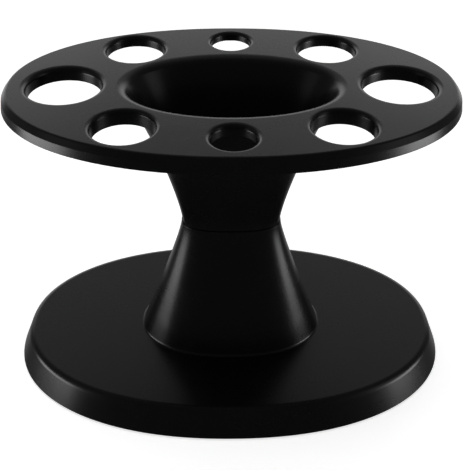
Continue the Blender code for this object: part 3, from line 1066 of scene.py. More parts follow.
@dataclass(frozen=True)
class Levels:
    """Heights, walls, gaps and fineness that several pieces share.

    Attributes:
        wall: Thickness of the shells' walls.
        gap: The gap under or over a piece that rests on another, and round a screw.
        side_gap: The gap beside a piece that is set into another.
        over: How far a cutter reaches past the face that it opens.
        tray_top: Height of the tray's flat.
        tray_plate: Thickness of the tray's plate.
        seam: Height of the crease at the waist.
        base_top: Height of the base's flat.
        base_plate: Thickness of the base's plate.
        skirt: Height of the skirt's lower edge.
        cover_bottom: Height of the cover's underside.
        cover_top: Height of the cover's upper side.
        ballast_top: Height of the ballast's upper side.
        shelf_bottom: Height of the underside of the shelf in the lower neck.
        spigot_depth: How far the spigot reaches below the seam.
        screw_radius: Radius of each screw's shank.
        neck_screw_x: How far the neck screws stand from the axis.
        boss_steps: Corners round a screw boss.
        pilot_steps: Corners round a screw's hole.
        sharp: The angle, in degrees, from which a shell's edge stays sharp.
        crisp: The same angle for the small turned pieces and the cover.
    """

    wall: float = 3.0 * MM
    gap: float = 0.3 * MM
    side_gap: float = 0.4 * MM
    over: float = 1.0 * MM
    tray_top: float = 193.5 * MM
    tray_plate: float = 3.0 * MM
    seam: float = 103.0 * MM
    base_top: float = 19.6 * MM
    base_plate: float = 3.0 * MM
    skirt: float = 1.2 * MM
    cover_bottom: float = 2.0 * MM
    cover_top: float = 4.4 * MM
    ballast_top: float = 10.7 * MM
    shelf_bottom: float = 91.7 * MM
    spigot_depth: float = 8.0 * MM
    screw_radius: float = 1.45 * MM
    neck_screw_x: float = 13.0 * MM
    boss_steps: int = 40
    pilot_steps: int = 22
    sharp: float = 32.0
    crisp: float = 30.0

    def neck_screw_places(self, height: float = 0.0) -> list[Point]:
        """Where the two neck screws stand, at a height."""
        return [(-self.neck_screw_x, 0.0, height), (self.neck_screw_x, 0.0, height)]


@dataclass(frozen=True)
class Hole:
    """One kind of hole in the tray.

    Attributes:
        degrees: The directions of its holes from the axis, from +X.
        radius: The bore's radius.
        lip: Radius of the rounded lip at its mouth.
        collar: How far its collar reaches below the tray's flat.
    """

    degrees: tuple[float, ...]
    radius: float
    lip: float
    collar: float


@dataclass
class UpperShell:
    """Tray, holes, bowl, upper neck and spigot in one moulding.

    Attributes:
        trees: The trees that make its forms.
        levels: The shared heights.
        tray: The rim's widest oval.
        rim_depth: The rim's height.
        rim_round: Radius where the tray's flat rolls over.
        rim_slope: Slope of the band below that round, in degrees from level.
        rim_shoulder: How far the shoulder below that band lies under the flat.
        shoulder_round: The shoulder's radius.
        rim_lean: How far the wall under the shoulder leans out, in degrees.
        rim_edge: Radius of the rim's bottom edge.
        bowl: Where the tray's flat starts to roll into the bowl.
        bowl_lip: Radius of that roll.
        bowl_lean: Where that roll ends in the bowl's wall, in degrees from level outwards.
        bowl_floor: Height of the bowl's floor above the seam.
        floor_round: Radius between that floor and the wall.
        floor_clear: How far the wall's first row keeps above that round.
        waist: The oval of the crease.
        neck_handles: Handles of the funnel's curve, from the waist up.
        ledge: How much further out the lower neck stands at the crease.
        spigot_wall: Thickness of the spigot's wall.
        boss_radius: Radius of the screw bosses in the spigot.
        pilot_reach: How far above the shelf's underside the pilot holes end.
        holes: The kinds of hole.
        ring_share: Where the ring of holes lies between the bowl and the rim.
        collar_wall: Thickness of the collars' walls.
        web_depth: How far the webs hang below the tray's plate.
        web_thickness: The webs' thickness.
        web_angles: The webs' directions, in degrees.
        steps: Corners round the shell.
        neck_steps: Rows of the funnel.
        floor_steps: Chords of the bowl floor's round.
        bowl_steps: Chords of the bowl's lip.
        rim_steps: Chords of the rim's round.
        shoulder_steps: Chords of the shoulder.
        edge_steps: Chords of the bottom edge.
        hole_steps: Corners round the collars and bores.
        lip_steps: Chords of the holes' lips.
        bore_turn: Turn of the bores' corners, in radians, which keeps them off the collars' corners.
    """

    trees: Trees
    levels: Levels
    tray: Oval = Oval(125.8 * MM, 77.5 * MM, 193.5 * MM, 2.11)
    rim_depth: float = 8.5 * MM
    rim_round: float = 1.8 * MM
    rim_slope: float = 52.0
    rim_shoulder: float = 3.5 * MM
    shoulder_round: float = 0.8 * MM
    rim_lean: float = 9.0
    rim_edge: float = 0.5 * MM
    bowl: Oval = Oval(63.3 * MM, 38.2 * MM, 193.5 * MM, 2.05)
    bowl_lip: float = 7.0 * MM
    bowl_lean: float = 35.0
    bowl_floor: float = 3.6 * MM
    floor_round: float = 3.0 * MM
    floor_clear: float = 0.5 * MM
    waist: Oval = Oval(29.6 * MM, 13.6 * MM, 103.0 * MM, 2.6)
    neck_handles: tuple[Point2, Point2] = ((0.0, 0.14), (0.55, 0.80))
    ledge: float = 0.6 * MM
    spigot_wall: float = 2.4 * MM
    boss_radius: float = 3.9 * MM
    pilot_reach: float = 12.9 * MM
    holes: tuple[Hole, ...] = (
        Hole((0.0, 180.0), radius=20.4 * MM, lip=3.2 * MM, collar=8.0 * MM),
        Hole((38.7, 141.3), radius=16.9 * MM, lip=2.6 * MM, collar=6.4 * MM),
        Hole((218.7, 321.3), radius=16.7 * MM, lip=2.4 * MM, collar=8.8 * MM),
        Hole((90.0,), radius=11.7 * MM, lip=2.2 * MM, collar=5.0 * MM),
        Hole((270.0,), radius=11.9 * MM, lip=2.7 * MM, collar=6.4 * MM),
    )
    ring_share: float = 0.489
    collar_wall: float = 2.0 * MM
    web_depth: float = 3.2 * MM
    web_thickness: float = 2.0 * MM
    web_angles: tuple[float, ...] = (20.0, 66.0, 114.0, 160.0, 200.0, 246.0, 294.0, 340.0)
    steps: int = 288
    neck_steps: int = 44
    floor_steps: int = 6
    bowl_steps: int = 14
    rim_steps: int = 8
    shoulder_steps: int = 5
    edge_steps: int = 4
    hole_steps: int = 96
    lip_steps: int = 12
    bore_turn: float = 0.013

    def rim_profile(self) -> list[Point2]:
        """The rim's section: a small round, a slope down to a shoulder, and a wall that leans out a little.

        Returns:
            Distances out from the tray's flat with their depths below it, from the flat to the bottom edge.
        """
        wall = 90.0 - self.rim_lean
        slope = math.radians(self.rim_slope)
        fall = self.shoulder_round * (math.cos(slope) - math.cos(math.radians(wall)))
        made = rounded((0.0, 0.0), self.rim_round, (0.0, self.rim_slope), self.rim_steps)
        out, down = made[-1]
        drop = self.rim_shoulder - fall - down
        shoulder = (out + drop / math.tan(slope), down + drop)
        made += rounded(shoulder, self.shoulder_round, (self.rim_slope, wall), self.shoulder_steps)
        out, down = made[-1]
        low = self.rim_depth - self.rim_edge
        made.append((out + (low - down) * math.tan(math.radians(self.rim_lean)), low))
        return made

    def rim_run(self) -> float:
        """How far the rim reaches out from the tray's flat."""
        return self.rim_profile()[-1][0]

    def funnel(self, inset: float, low: float, high: float) -> list[Oval]:
        """Ovals of the upper neck.

        Args:
            inset: How far inside the outer skin.
            low: Its lowest height.
            high: Its highest height.

        Returns:
            The ovals from the bottom up.
        """
        mouth = self.bowl.inset(self.bowl_lip * math.cos(math.radians(self.bowl_lean)) - self.levels.wall)
        skin = flared(self.waist, mouth, self.neck_handles, (low, high), self.neck_steps)
        return [oval.inset(inset) for oval in skin]

    def ovals(self) -> list[Oval]:
        """The whole skin, from the bowl's floor over the tray and down to the spigot.

        Returns:
            The ovals, in order along the skin.
        """
        at = self.levels
        floor, edge, soft = at.seam + self.bowl_floor, self.rim_edge, self.floor_round
        lean = math.radians(self.bowl_lean)
        inside = self.funnel(at.wall, floor, at.tray_top - self.bowl_lip * (1.0 - math.sin(lean)))
        made = [pole(floor)]
        for sine, cosine in arc(self.floor_steps):
            made.append(inside[0].inset(soft * (1.0 - sine), floor + soft * (1.0 - cosine)))
        made += [oval for oval in inside if oval.height > floor + soft + self.floor_clear]
        for sine, cosine in arc(self.bowl_steps, self.bowl_lean)[1:]:
            out = self.bowl_lip * (math.cos(lean) - cosine)
            made.append(inside[-1].inset(-out, at.tray_top - self.bowl_lip * (1.0 - sine)))
        run = self.rim_run()
        made += [self.tray.inset(run - out, at.tray_top - down) for out, down in self.rim_profile()]
        bottom = at.tray_top - self.rim_depth
        for sine, cosine in arc(self.edge_steps)[1:]:
            made.append(self.tray.inset(edge * (1.0 - cosine), bottom + edge * (1.0 - sine)))
        ceiling = at.tray_top - at.tray_plate
        made.append(self.tray.inset(at.wall, bottom))
        made.append(self.tray.inset(at.wall + run - at.tray_plate, ceiling))
        low = at.seam + at.gap / 2.0
        made += reversed(self.funnel(0.0, low, ceiling))
        outer, spigot = at.wall + at.side_gap - self.ledge, at.seam - at.spigot_depth
        inner = outer + self.spigot_wall
        for inset, height in ((outer, low), (outer, spigot), (inner, spigot), (inner, at.seam)):
            made.append(self.waist.inset(inset, height))
        made.append(pole(at.seam))
        return made

    def places(self, hole: Hole) -> list[Point]:
        """Where the holes of one kind are, on the ring between bowl and rim.

        Args:
            hole: The kind.

        Returns:
            Their middles on the ground, because the shapes set on them carry their own heights.
        """
        flat = self.tray.inset(self.rim_run())
        made = []
        for degrees in hole.degrees:
            inner, outer = self.bowl.reach(degrees), flat.reach(degrees)
            reach = inner + self.ring_share * (outer - inner)
            angle = math.radians(degrees)
            made.append((reach * math.cos(angle), reach * math.sin(angle), 0.0))
        return made

    def collars(self, hole: Hole, material: bpy.types.Material) -> bpy.types.Object:
        """Makes the collars under the holes of one kind.

        Args:
            hole: The kind.
            material: Their finish.

        Returns:
            The collars as one object.
        """
        top = self.levels.tray_top
        rows = rod(hole.radius + self.collar_wall, top - hole.collar, top - self.levels.tray_plate / 2.0)
        name = f"collars_{round(hole.degrees[0])}"
        return self.trees.turned(name, rows, self.hole_steps, self.places(hole), material)

    def bores(self, hole: Hole, material: bpy.types.Material) -> bpy.types.Object:
        """Makes the cutters of one kind of hole, each with the rounded lip at its mouth.

        Args:
            hole: The kind.
            material: The shell's finish.

        Returns:
            The cutters as one object.
        """
        top = self.levels.tray_top
        low = top - hole.collar - 2.0 * self.levels.over
        rows = [pole(low), ring(hole.radius, low)]
        for sine, cosine in arc(self.lip_steps):
            rows.append(ring(hole.radius + hole.lip * (1.0 - cosine), top - hole.lip * (1.0 - sine)))
        # The last chord goes on for twice its length, so that the cutter ends above the tray's flat.
        last, before = rows.pop(), rows[-1]
        rim = 2.0 * last.half_length - before.half_length
        rows.append(ring(rim, 2.0 * last.height - before.height))
        rows.append(pole(rows[-1].height))
        name = f"bores_{round(hole.degrees[0])}"
        places = self.places(hole)
        turns = [self.bore_turn] * len(places)
        return self.trees.turned(name, rows, self.hole_steps, places, material, turns)

    def tray_webs(self, material: bpy.types.Material) -> bpy.types.Object:
        """Makes the webs under the tray, from the funnel's wall to the rim.

        Args:
            material: Their finish.

        Returns:
            The webs as one object.
        """
        at = self.levels
        ceiling = at.tray_top - at.tray_plate
        outside = self.funnel(0.0, at.seam + at.gap / 2.0, ceiling)
        low = ceiling - self.web_depth
        webs = [
            Web(
                degrees,
                oval_between(outside, low).reach(degrees) - at.wall / 2.0,
                oval_between(outside, ceiling).reach(degrees) - at.wall / 2.0,
                self.tray.reach(degrees) - at.wall,
                low,
                ceiling + at.tray_plate / 4.0,
            )
            for degrees in self.web_angles
        ]
        return self.trees.radial_webs("tray_webs", webs, self.web_thickness, material)

    def screw_bosses(self, material: bpy.types.Material) -> tuple[bpy.types.Object, bpy.types.Object]:
        """Makes the two bosses in the spigot, and the cutters of their pilot holes.

        Args:
            material: The shell's finish.

        Returns:
            The bosses and the cutters.
        """
        at = self.levels
        low, places = at.seam - at.spigot_depth, at.neck_screw_places()
        rows = rod(self.boss_radius, low, at.seam + self.bowl_floor / 3.0)
        bosses = self.trees.turned("neck_bosses", rows, at.boss_steps, places, material)
        rows = rod(at.screw_radius + at.gap, low - 2.0 * at.over, at.shelf_bottom + self.pilot_reach)
        return bosses, self.trees.turned("neck_pilots", rows, at.pilot_steps, places, material)

    def build(self, material: bpy.types.Material) -> None:
        """Makes and dresses the shell.

        Args:
            material: Its finish.
        """
        shell = self.trees.lofted("tray_bowl_and_upper_neck", self.ovals(), self.steps, material)
        bosses, pilots = self.screw_bosses(material)
        tools = [(self.collars(hole, material), Join.ADD) for hole in self.holes]
        tools += [(self.tray_webs(material), Join.ADD), (bosses, Join.ADD)]
        tools += [(self.bores(hole, material), Join.CUT) for hole in self.holes]
        tools.append((pilots, Join.CUT))
        shell = shaded(combined(shell, tools), self.levels.sharp)
        dress(shell, material, ["upper_shell"])


@dataclass
class Pedestal:
    """Lower neck, base and skirt in one moulding, with the bosses and webs inside it.

    Attributes:
        trees: The trees that make its forms.
        levels: The shared heights.
        waist: The neck's oval at the crease.
        waist_edge: Radius of the edge there.
        neck_handles: Handles of the neck's curve, from the waist down.
        foot: The neck's oval where it meets the base's flat.
        foot_fillet: How far the soft joint between the two runs out over the flat.
        fillet_rise: How far up the neck that joint starts, as a multiple of its run.
        base: The skirt's widest oval.
        edge_round: Radius of the base's top edge.
        flare: How far the skirt leans out on its way down.
        skirt_edge: Radius of the skirt's lower edge.
        boss_radius: Radius of the bosses for the cover's screws.
        boss_inset: How far they stand inside the skirt.
        boss_angles: Their directions, as parameter angles of the oval.
        pilot_top: Height of the end of their pilot holes.
        web_thickness: Thickness of the webs inside the base.
        steps: Corners round the shell.
        neck_steps: Rows of the neck.
        waist_steps: Chords of the edge at the crease.
        fillet_steps: Rows of the soft joint at the foot.
        edge_steps: Chords of the base's top edge.
        skirt_steps: Chords of the skirt's lower edge.
    """

    trees: Trees
    levels: Levels
    waist: Oval = Oval(30.2 * MM, 14.2 * MM, 102.85 * MM, 2.6)
    waist_edge: float = 0.35 * MM
    neck_handles: tuple[Point2, Point2] = ((0.0, 0.12), (0.66, 0.70))
    foot: Oval = Oval(57.5 * MM, 35.2 * MM, 19.6 * MM, 2.25)
    foot_fillet: float = 1.2 * MM
    fillet_rise: float = 1.6
    base: Oval = Oval(139.0 * MM, 86.4 * MM, 1.2 * MM, 2.17)
    edge_round: float = 5.0 * MM
    flare: float = 5.6 * MM
    skirt_edge: float = 0.5 * MM
    boss_radius: float = 4.2 * MM
    boss_inset: float = 10.0 * MM
    boss_angles: tuple[float, ...] = (30.0, 90.0, 150.0, 210.0, 270.0, 330.0)
    pilot_top: float = 14.1 * MM
    web_thickness: float = 2.0 * MM
    steps: int = 288
    neck_steps: int = 44
    waist_steps: int = 4
    fillet_steps: int = 7
    edge_steps: int = 14
    skirt_steps: int = 3

    def neck(self, inset: float, low: float, high: float) -> list[Oval]:
        """Ovals of the lower neck.

        Args:
            inset: How far inside the outer skin.
            low: Its lowest height.
            high: Its highest height.

        Returns:
            The ovals from the top down.
        """
        skin = flared(self.waist, self.foot, self.neck_handles, (high, low), self.neck_steps)
        return [oval.inset(inset) for oval in skin]

    def inner_skirt(self) -> Oval:
        """The inside of the skirt's top, from which bosses and feet are set in."""
        return self.base.inset(self.flare + self.levels.wall)

    def foot_joint(self, start: Oval) -> list[Oval]:
        """Ovals of the soft joint between the neck and the base's flat.

        Args:
            start: The neck's oval where the joint starts.

        Returns:
            The ovals from there to the flat, without the first.
        """
        end = self.foot.inset(-self.foot_fillet)
        made = []
        for i in range(1, self.fillet_steps):
            t = i / self.fillet_steps
            s = 1.0 - t
            sizes = []
            for key in ("half_length", "half_width", "height"):
                first, corner, last = (getattr(oval, key) for oval in (start, self.foot, end))
                sizes.append(s * s * first + 2.0 * s * t * corner + t * t * last)
            made.append(Oval(*sizes, self.foot.fullness))
        return made + [end]

    def ovals(self) -> list[Oval]:
        """The whole skin, from the shelf over the neck and the base and back up inside.

        Returns:
            The ovals, in order along the skin.
        """
        at = self.levels
        top, soft, edge = self.waist.height, self.waist_edge, self.skirt_edge
        shelf_top, ceiling = at.shelf_bottom + at.wall, at.base_top - at.base_plate
        outside, inside = self.neck(0.0, at.base_top, top), self.neck(at.wall, ceiling, top)
        made = [pole(shelf_top), oval_between(inside, shelf_top), inside[0]]
        for sine, cosine in arc(self.waist_steps):
            made.append(self.waist.inset(soft * (1.0 - sine), top - soft * (1.0 - cosine)))
        lowest, highest = at.base_top + 2.0 * self.foot_fillet, top - 2.0 * soft
        made += [oval for oval in outside if lowest < oval.height < highest]
        made += self.foot_joint(oval_between(outside, at.base_top + self.fillet_rise * self.foot_fillet))
        flat = self.base.inset(self.flare + self.edge_round, at.base_top)
        lean = math.degrees(math.atan2(self.flare, at.base_top - at.skirt - self.edge_round))
        for sine, cosine in arc(self.edge_steps, 0.0, 90.0 - lean):
            made.append(flat.inset(-self.edge_round * sine, at.base_top - self.edge_round * (1.0 - cosine)))
        for sine, cosine in arc(self.skirt_steps):
            made.append(self.base.inset(edge * (1.0 - cosine), at.skirt + edge * (1.0 - sine)))
        made.append(self.base.inset(at.wall, at.skirt))
        made.append(self.base.inset(at.wall, at.cover_top + at.gap))
        made.append(self.base.inset(self.flare + at.wall, ceiling))
        made += [oval for oval in reversed(inside) if oval.height < at.shelf_bottom - at.wall]
        made.append(oval_between(inside, at.shelf_bottom))
        made.append(pole(at.shelf_bottom))
        return made

    def boss_places(self) -> list[Point]:
        """Where the cover screws stand."""
        path = self.inner_skirt().inset(self.boss_inset)
        return [(*path.point(degrees), 0.0) for degrees in self.boss_angles]

    def base_webs(self, material: bpy.types.Material) -> bpy.types.Object:
        """Makes the webs inside the base, from the neck's foot to the bosses.

        Args:
            material: Their finish.

        Returns:
            The webs as one object.
        """
        at = self.levels
        low, high = at.ballast_top + at.gap, at.base_top - at.base_plate + at.base_plate / 4.0
        webs = []
        for x, y, _ in self.boss_places():
            degrees = math.degrees(math.atan2(y, x))
            inner = self.foot.reach(degrees) + at.wall
            webs.append(Web(degrees, inner, inner, math.hypot(x, y), low, high))
        return self.trees.radial_webs("base_webs", webs, self.web_thickness, material)

    def build(self, material: bpy.types.Material) -> None:
        """Makes and dresses the shell.

        Args:
            material: Its finish.
        """
        at = self.levels
        shell = self.trees.lofted("lower_neck_and_base", self.ovals(), self.steps, material)
        places, hole = self.boss_places(), at.screw_radius + at.gap
        rows = rod(self.boss_radius, at.cover_top + at.gap, at.base_top - at.base_plate / 2.0)
        bosses = self.trees.turned("base_bosses", rows, at.boss_steps, places, material)
        webs = self.base_webs(material)
        rows = rod(hole, at.cover_top, self.pilot_top)
        pilots = self.trees.turned("base_pilots", rows, at.pilot_steps, places, material)
        rows = rod(hole, at.shelf_bottom - at.over, at.shelf_bottom + at.wall + at.over)
        passages = self.trees.turned("shelf_holes", rows, at.pilot_steps, at.neck_screw_places(), material)
        tools = [(bosses, Join.ADD), (webs, Join.ADD), (pilots, Join.CUT), (passages, Join.CUT)]
        shell = shaded(combined(shell, tools), at.sharp)
        dress(shell, material, ["pedestal_shell"])


@dataclass
class Underside:
    """Bottom cover, rubber feet, screws and ballast.

    Attributes:
        trees: The trees that make their forms.
        levels: The shared heights.
        pedestal: The shell that holds them.
        cover_edge: Radius of the cover's lower edge.
        cover_steps: Corners round the cover.
        fence_height: Height of the fence round the ballast.
        fence_thickness: Its thickness.
        ballast_margin: How far the fence stands inside the bosses.
        ballast_fullness: The exponent of the ballast's outline.
        ballast_edge: Width of the chamfer on the ballast's outer edges.
        ballast_steps: Corners round the ballast.
        head_radius: Radius of each screw's head.
        head_height: Its height.
        head_gap: The gap round a head in its seat.
        cover_screw: Length of a cover screw under its head.
        neck_screw: Length of a neck screw under its head.
        cover_turns: The first cover screw's turn and the step to the next one's, in radians.
        neck_turns: The two neck screws' turns.
        screw_steps: Corners round a screw.
        crown_steps: Chords of its head's crown.
        seat_steps: Corners round a screw's seat.
        washer_radius: The washers' radius.
        washer_thickness: Their thickness.
        washer_steps: Corners round a washer, and round a foot's recess.
        foot_radius: The feet's radius.
        foot_height: Their height.
        foot_round: Radius of their lower edge.
        foot_inset: How far they stand inside the skirt.
        foot_angles: Their directions, as parameter angles of the oval.
        foot_steps: Corners round a foot.
        foot_round_steps: Chords of its lower edge.
        foot_sharp: The angle, in degrees, from which a foot's edge stays sharp.
    """

    trees: Trees
    levels: Levels
    pedestal: Pedestal
    cover_edge: float = 0.25 * MM
    cover_steps: int = 240
    fence_height: float = 3.0 * MM
    fence_thickness: float = 2.0 * MM
    ballast_margin: float = 6.0 * MM
    ballast_fullness: float = 2.1
    ballast_edge: float = 0.4 * MM
    ballast_steps: int = 200
    head_radius: float = 2.8 * MM
    head_height: float = 1.5 * MM
    head_gap: float = 0.5 * MM
    cover_screw: float = 10.0 * MM
    neck_screw: float = 14.0 * MM
    cover_turns: Point2 = (0.35, 1.1)
    neck_turns: Point2 = (0.2, 1.3)
    screw_steps: int = 32
    crown_steps: int = 6
    seat_steps: int = 36
    washer_radius: float = 4.4 * MM
    washer_thickness: float = 0.8 * MM
    washer_steps: int = 48
    foot_radius: float = 6.5 * MM
    foot_height: float = 2.4 * MM
    foot_round: float = 0.5 * MM
    foot_inset: float = 14.0 * MM
    foot_angles: tuple[float, ...] = (0.0, 60.0, 120.0, 180.0, 240.0, 300.0)
    foot_steps: int = 64
    foot_round_steps: int = 5
    foot_sharp: float = 40.0

    def foot_places(self) -> list[Point]:
        """Where the feet stand."""
        path = self.pedestal.inner_skirt().inset(self.foot_inset)
        return [(*path.point(degrees), 0.0) for degrees in self.foot_angles]

    def ballast_outline(self) -> Oval:
        """The ballast plate's outer edge, inside the ring of bosses.

        Returns:
            The outline, at the height of the plate's underside.
        """
        part = self.pedestal
        margin = part.boss_inset + part.boss_radius + self.fence_thickness + self.ballast_margin
        edge = part.inner_skirt().inset(margin, self.levels.cover_top + self.levels.gap)
        return Oval(edge.half_length, edge.half_width, edge.height, self.ballast_fullness)

    def build_cover(self, material: bpy.types.Material) -> None:
        """Makes and dresses the cover.

        Args:
            material: Its finish.
        """
        at = self.levels
        edge = self.pedestal.base.inset(at.wall + at.side_gap)
        fence = self.ballast_outline().inset(-at.side_gap)
        low, high, soft = at.cover_bottom, at.cover_top, self.cover_edge
        top = high + self.fence_height
        rows = [pole(low), edge.inset(soft, low), edge.inset(0.0, low + soft), edge.inset(0.0, high)]
        rows += [fence.inset(-self.fence_thickness, high), fence.inset(-self.fence_thickness, top)]
        rows += [fence.inset(0.0, top), fence.inset(0.0, high), pole(high)]
        cover = self.trees.lofted("bottom_cover_plate", rows, self.cover_steps, material)
        seat, through = self.head_radius + self.head_gap, at.screw_radius + at.gap
        level = low + self.head_height
        rows = [*rod(seat, low - at.over, level)[:3], *rod(through, level, high + at.over)[1:]]
        places = self.pedestal.boss_places()
        seats = self.trees.turned("screw_seats", rows, self.seat_steps, places, material)
        rows = rod(self.foot_radius + at.gap, low - at.over, self.foot_height + at.gap)
        places = self.foot_places()
        recesses = self.trees.turned("foot_recesses", rows, self.washer_steps, places, material)
        cover = shaded(combined(cover, [(seats, Join.CUT), (recesses, Join.CUT)]), at.crisp)
        dress(cover, material, ["bottom_cover"])

    def build_feet(self, material: bpy.types.Material) -> None:
        """Makes and dresses the six rubber feet, as one piece.

        Args:
            material: Their finish.
        """
        soft, radius, places = self.foot_round, self.foot_radius, self.foot_places()
        rows = [pole(0.0)]
        for sine, cosine in arc(self.foot_round_steps):
            rows.append(ring(radius - soft * (1.0 - sine), soft * (1.0 - cosine)))
        rows += [ring(radius, self.foot_height), pole(self.foot_height)]
        feet = self.trees.turned("rubber_feet", rows, self.foot_steps, places, material)
        feet = shaded(feet, self.foot_sharp)
        dress(feet, material, [f"foot_pad_{i + 1}" for i in range(len(places))])

    def screw_shape(self, name: str, length: float, material: bpy.types.Material) -> bpy.types.Object:
        """Makes one pan-head screw with a cross recess, its origin under the head and its shank up.

        Its small forms are shares of the head's height and radius and of the shank's radius.

        Args:
            name: The shape's name.
            length: Its length under the head.
            material: Its finish.

        Returns:
            The screw.
        """
        crown, head, shank = self.head_height, self.head_radius, self.levels.screw_radius
        rows = [pole(-crown), ring(0.5 * head, -crown)]
        for sine, cosine in arc(self.crown_steps):
            rows.append(ring((0.5 + 0.5 * sine) * head, -crown * (0.3 + 0.7 * cosine)))
        rows += [ring(head, -0.05 * crown), ring(0.96 * head, 0.0), ring(shank, 0.0)]
        rows += [ring(shank, length - 1.6 * shank), ring(0.25 * shank, length), pole(length)]
        blank = self.trees.lofted(name, rows, self.screw_steps, material)
        arm = Matrix.Diagonal((1.1 * head, 0.26 * head, 1.1 * crown, 1.0))
        tools = []
        for i, turn in enumerate((0.0, math.pi / 2.0)):
            matrix = Matrix.Rotation(turn, 4, "Z") @ Matrix.Translation((0.0, 0.0, -crown)) @ arm
            builder = bmesh.new()
            bmesh.ops.create_cube(builder, size=1.0, matrix=matrix)
            mesh = bpy.data.meshes.new(f"{name}_arm_{i}")
            builder.to_mesh(mesh)
            builder.free()
            tools.append((new_object(mesh.name, mesh), Join.CUT))
        return combined(blank, tools)

    def build_fasteners(self, material: bpy.types.Material) -> None:
        """Makes and dresses the screws and washers.

        Args:
            material: Their finish.
        """
        at = self.levels
        seat = at.cover_bottom + self.head_height - at.gap
        places = [(x, y, seat) for x, y, _ in self.pedestal.boss_places()]
        first, step = self.cover_turns
        turns = [first + step * i for i in range(len(places))]
        shape = self.screw_shape("cover_screw_shape", self.cover_screw, material)
        screws = shaded(self.trees.set_out("cover_screws", shape, places, material, turns), at.crisp)
        dress(screws, material, [f"cover_screw_{i + 1}" for i in range(len(places))])

        washer_low = at.shelf_bottom - at.gap - self.washer_thickness
        places = at.neck_screw_places(washer_low - at.gap)
        shape = self.screw_shape("neck_screw_shape", self.neck_screw, material)
        screws = shaded(self.trees.set_out("neck_screws", shape, places, material, self.neck_turns), at.crisp)
        dress(screws, material, ["neck_screw_left", "neck_screw_right"])

        bore, places = at.screw_radius + at.gap, at.neck_screw_places(washer_low)
        rows = [ring(bore, 0.0), ring(self.washer_radius, 0.0)]
        rows += [ring(self.washer_radius, self.washer_thickness), ring(bore, self.washer_thickness)]
        shape = self.trees.lofted("washer_shape", rows, self.washer_steps, material, closed=True)
        washers = shaded(self.trees.set_out("neck_washers", shape, places, material), at.crisp)
        dress(washers, material, ["neck_washer_left", "neck_washer_right"])

    def build_ballast(self, material: bpy.types.Material) -> None:
        """Makes and dresses the ballast plate.

        Args:
            material: Its finish.
        """
        outer, inner = self.ballast_outline(), self.pedestal.foot.inset(self.levels.wall)
        low, high, edge = outer.height, self.levels.ballast_top, self.ballast_edge
        rows = [outer.inset(edge, low), outer.inset(0.0, low + edge), outer.inset(0.0, high - edge)]
        rows += [outer.inset(edge, high), inner.inset(0.0, high), inner.inset(0.0, low)]
        plate = self.trees.lofted("steel_ballast", rows, self.ballast_steps, material, closed=True)
        dress(shaded(plate, self.levels.crisp), material, ["ballast_plate"])


# --------------------------------------------------------------------------------------------------------
# Studio


@dataclass(frozen=True)
class Softbox:
    """A rectangular softbox that stands beside the stand.

    Attributes:
        name: Its name.
        bearing: Its direction from the stand, in degrees from the back (+Y) towards the right (+X).
        distance: Its distance from the axis.
        height: The height of its middle.
        width: Its width.
        tall: Its size from the lower edge to the upper one.
        radiance: Its brightness.
    """

    name: str
    bearing: float
    distance: float
    height: float
    width: float
    tall: float
    radiance: float

    def stance(self) -> Matrix:
        """Its place and turn, upright and facing the stand.

        Returns:
            The matrix.
        """
        angle, up = math.radians(self.bearing), Vector((0.0, 0.0, 1.0))
        place = Vector((math.sin(angle) * self.distance, math.cos(angle) * self.distance, self.height))
        facing = Vector((-place.x, -place.y, 0.0)).normalized()
        turn = Matrix((facing.cross(up), up, -facing)).transposed().to_4x4()
        return Matrix.Translation(place) @ turn


@dataclass(frozen=True)
class Fade:
    """A smooth change of a value along one coordinate of a direction.

    Attributes:
        start: The coordinate where it starts.
        end: The coordinate where it ends.
        before: The value up to the start.
        after: The value from the end on.
    """

    start: float
    end: float
    before: float = 0.0
    after: float = 1.0

    def settings(self) -> dict[str | int, object]:
        """The fade, as a Map Range node's settings.

        Returns:
            The settings by name.
        """
        return {
            "interpolation_type": "SMOOTHSTEP",
            "From Min": self.start,
            "From Max": self.end,
            "To Min": self.before,
            "To Max": self.after,
        }


